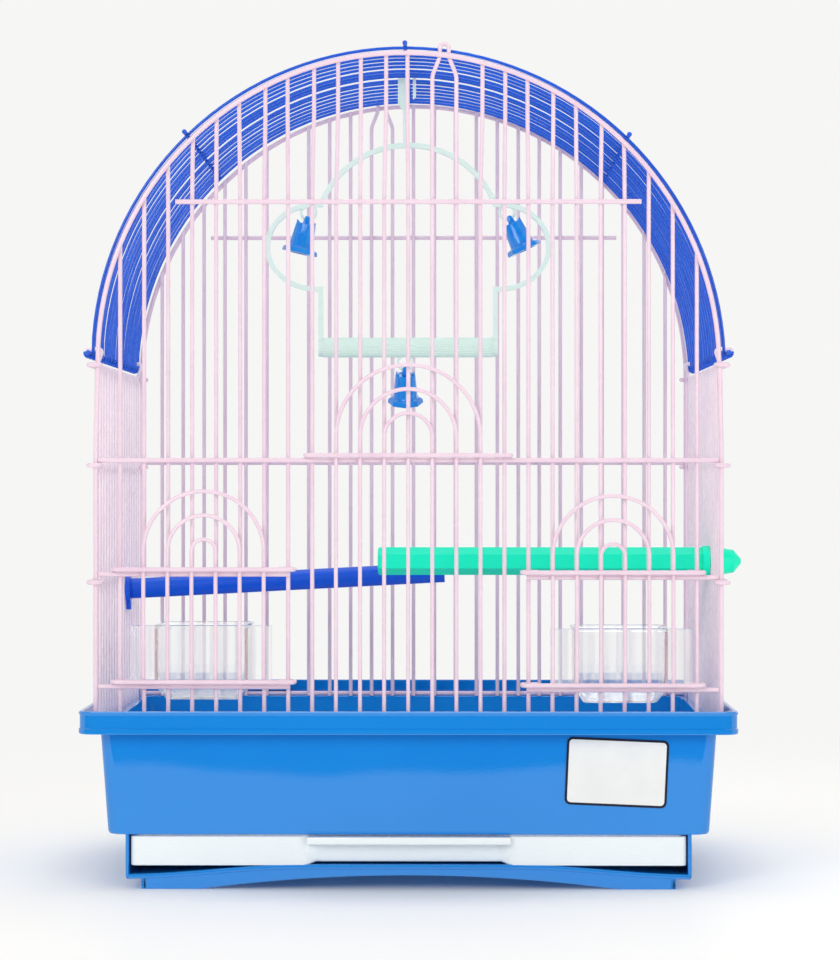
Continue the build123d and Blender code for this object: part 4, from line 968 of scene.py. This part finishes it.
# Bells: tapered shell, eight-sided lip, crown with the ring through it, two ears on the shoulder
bellValues = {
    "shoulder": 6.1, "height": 12.4, "lip": 3.0, "topR": 5.0, "footR": 6.1, "wall": 1.1,
    "lipR": 9.2, "crownHalf": 1.95, "crownTop": 1.9, "crownDepth": 1.8, "sides": 8, "steps": 6,
    "flute": 0.025, "crownTall": 4.6, "crownTaper": (0.55, 0.7), "crownSoft": 0.6,
    "ear": 1.6, "earIn": 1.9, "earOut": 0.15, "earHalf": 2.6, "earSink": 0.6, "earFall": 1.3,
    "earSoft": 0.25, "hangY": 4.5, "leftX": -52.6, "rightX": 49.2, "upperZ": 332.9,
    "leftTurn": 13, "rightTurn": -25, "lowX": -3.0, "lowZ": 252.0, "lowArm": 3.8, "lowTurn": 20,
}


def bellRadius(angle, radius, square):
    # square 0 gives the faintly fluted body, 1 the eight-sided lip
    part = tau / bellValues["sides"]
    radius *= 1 + bellValues["flute"] * cos(2 * bellValues["sides"] * angle) * (1 - square)
    bend = (angle % part) - part / 2
    flat = radius * cos(part / 2) / cos(bend)
    return radius * (1 - square) + flat * square


def buildBell(name, node, body, centre, turnAxis, turnDegrees):
    v = bellValues
    foot = -v["shoulder"] - v["height"]
    lip = foot - v["lip"]
    count = v["sides"] * v["steps"]
    levels = [
        (0.8, -v["shoulder"] - 0.5, 0), (v["topR"] - 1.2, -v["shoulder"] - 0.3, 0),
        (v["topR"] - 0.9, -v["shoulder"], 0), (v["topR"] - 0.25, -v["shoulder"], 0),
        (v["topR"], -v["shoulder"] - 0.3, 0), (v["footR"] - 0.1, foot + 0.9, 0),
        (v["footR"] + 0.3, foot + 0.25, 0), (v["footR"] + 1.6, foot - 0.1, 0.6),
        (v["lipR"] - 0.9, foot - 0.35, 1), (v["lipR"] - 0.4, foot - 0.8, 1),
        (v["lipR"], lip + 0.4, 1), (v["lipR"] - 0.3, lip, 1), (v["footR"] + 0.2, lip, 0.3),
        (v["footR"] - v["wall"] + 0.2, lip + 0.2, 0), (v["footR"] - v["wall"], foot, 0),
        (v["topR"] - v["wall"], -v["shoulder"] - v["wall"] - 0.5, 0),
        (0.8, -v["shoulder"] - v["wall"], 0),
    ]
    shape = bmesh.new()
    rings = []
    for radius, z, square in levels:
        reaches = [(turn * tau / count, bellRadius(turn * tau / count, radius, square))
                   for turn in range(count)]
        rings.append([(reach * cos(angle), reach * sin(angle), z) for angle, reach in reaches])
    growSkin(shape, rings, capStart=True, capEnd=True)

    # the crown is narrower at its top, and the ears fall towards it
    def narrowTop(point):
        if point.co.z > (-v["crownTop"] - v["crownTall"] / 2) * mm:
            point.co.x *= v["crownTaper"][0]
            point.co.y *= v["crownTaper"][1]

    def lowerInside(point):
        if point.co.z > -v["shoulder"] * mm and abs(point.co.x) < (v["topR"] - 1) * mm:
            point.co.z -= v["earFall"] * mm

    addBlock(shape, (-v["crownHalf"], -v["crownDepth"], -v["crownTop"] - v["crownTall"]),
             (v["crownHalf"], v["crownDepth"], -v["crownTop"]), v["crownSoft"], 3, narrowTop)
    for side in (-1, 1):
        ends = sorted((side * (v["topR"] - v["earIn"]), side * (v["topR"] - v["earOut"])))
        addBlock(shape, (ends[0], -v["earHalf"], -v["shoulder"] - v["earSink"]),
                 (ends[1], v["earHalf"], -v["shoulder"] + v["ear"]), v["earSoft"], bend=lowerInside)
    place = Matrix.Translation(Vector(centre) * mm) @ Matrix.Rotation(radians(turnDegrees), 4, turnAxis)
    bmesh.ops.transform(shape, matrix=place, verts=shape.verts[:])
    bell = putPiece(name, shape, finishes["blueBell"], body, sharp=30)
    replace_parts(bell, node)


def buildBells():
    v = bellValues
    arm = v["lowArm"]
    lean = radians(v["lowTurn"])
    left = (v["leftX"], v["hangY"], v["upperZ"])
    right = (v["rightX"], v["hangY"], v["upperZ"])
    low = (v["lowX"], v["hangY"] - arm * sin(lean), v["lowZ"] + arm * cos(lean))
    buildBell("leftBell", "bell_left", "left_bell", left, "Y", v["leftTurn"])
    buildBell("rightBell", "bell_right", "right_bell", right, "Y", v["rightTurn"])
    buildBell("lowBell", "bell_low", "low_bell", low, "X", v["lowTurn"])


buildBells()
print("stage: bells are in")


# Weld nuggets where wires cross, worked out from the cage's spacing
weldValues = {
    "pitch": 11.5, "sidePitch": 12.667, "barPlane": 115.05, "sidePlane": 151.15, "nugget": 1.15,
    "upper": 328.2, "mid": 205.0, "lower": 150.7, "sill": 97.1, "foot": 78.87, "drop": 1.5,
    "sideLevels": (250.4, 202.6, 146.8, 78.87), "sideStart": -114, "sideWires": 17,
    "lastBar": 12, "doorBar": 3, "sillBar": 5, "upperBar": 9,
}


def addNuggets(name, places, stretch, finish, body):
    shape = bmesh.new()
    for place in places:
        addBead(shape, place, weldValues["nugget"], stretch)
    return putPiece(name, shape, finish, body, sharp=80)


def panelWelds():
    v = weldValues
    front, rear = [], []
    for bar in range(-v["lastBar"], v["lastBar"] + 1):
        x = bar * v["pitch"]
        drop = v["drop"] if bar > 0 else 0
        frontLevels = [v["mid"]]
        if abs(bar) > v["doorBar"]:
            frontLevels.append(v["foot"])
        if abs(bar) >= v["sillBar"]:
            frontLevels += [v["lower"] - drop, v["sill"] - drop]
        top = [v["upper"]] if abs(bar) <= v["upperBar"] else []
        front += [(x, -v["barPlane"], z) for z in frontLevels + top]
        rear += [(x, v["barPlane"], z) for z in top + [v["mid"], v["foot"]]]
    addNuggets("frontWelds", front, (1, 0.75, 1), finishes["pinkWire"], "cage")
    # rear welds share the rear panel's darker painted-shade enamel
    addNuggets("rearWelds", rear, (1, 0.75, 1), finishes["shadedRearWire"], "cage")
    sides = []
    for side in (-1, 1):
        for wire in range(1, v["sideWires"] + 1):
            for z in v["sideLevels"]:
                sides.append((side * v["sidePlane"], v["sideStart"] + wire * v["sidePitch"], z))
    addNuggets("sideWelds", sides, (0.75, 1, 1), finishes["pinkWire"], "cage")


panelWelds()
print("stage: welds are in")
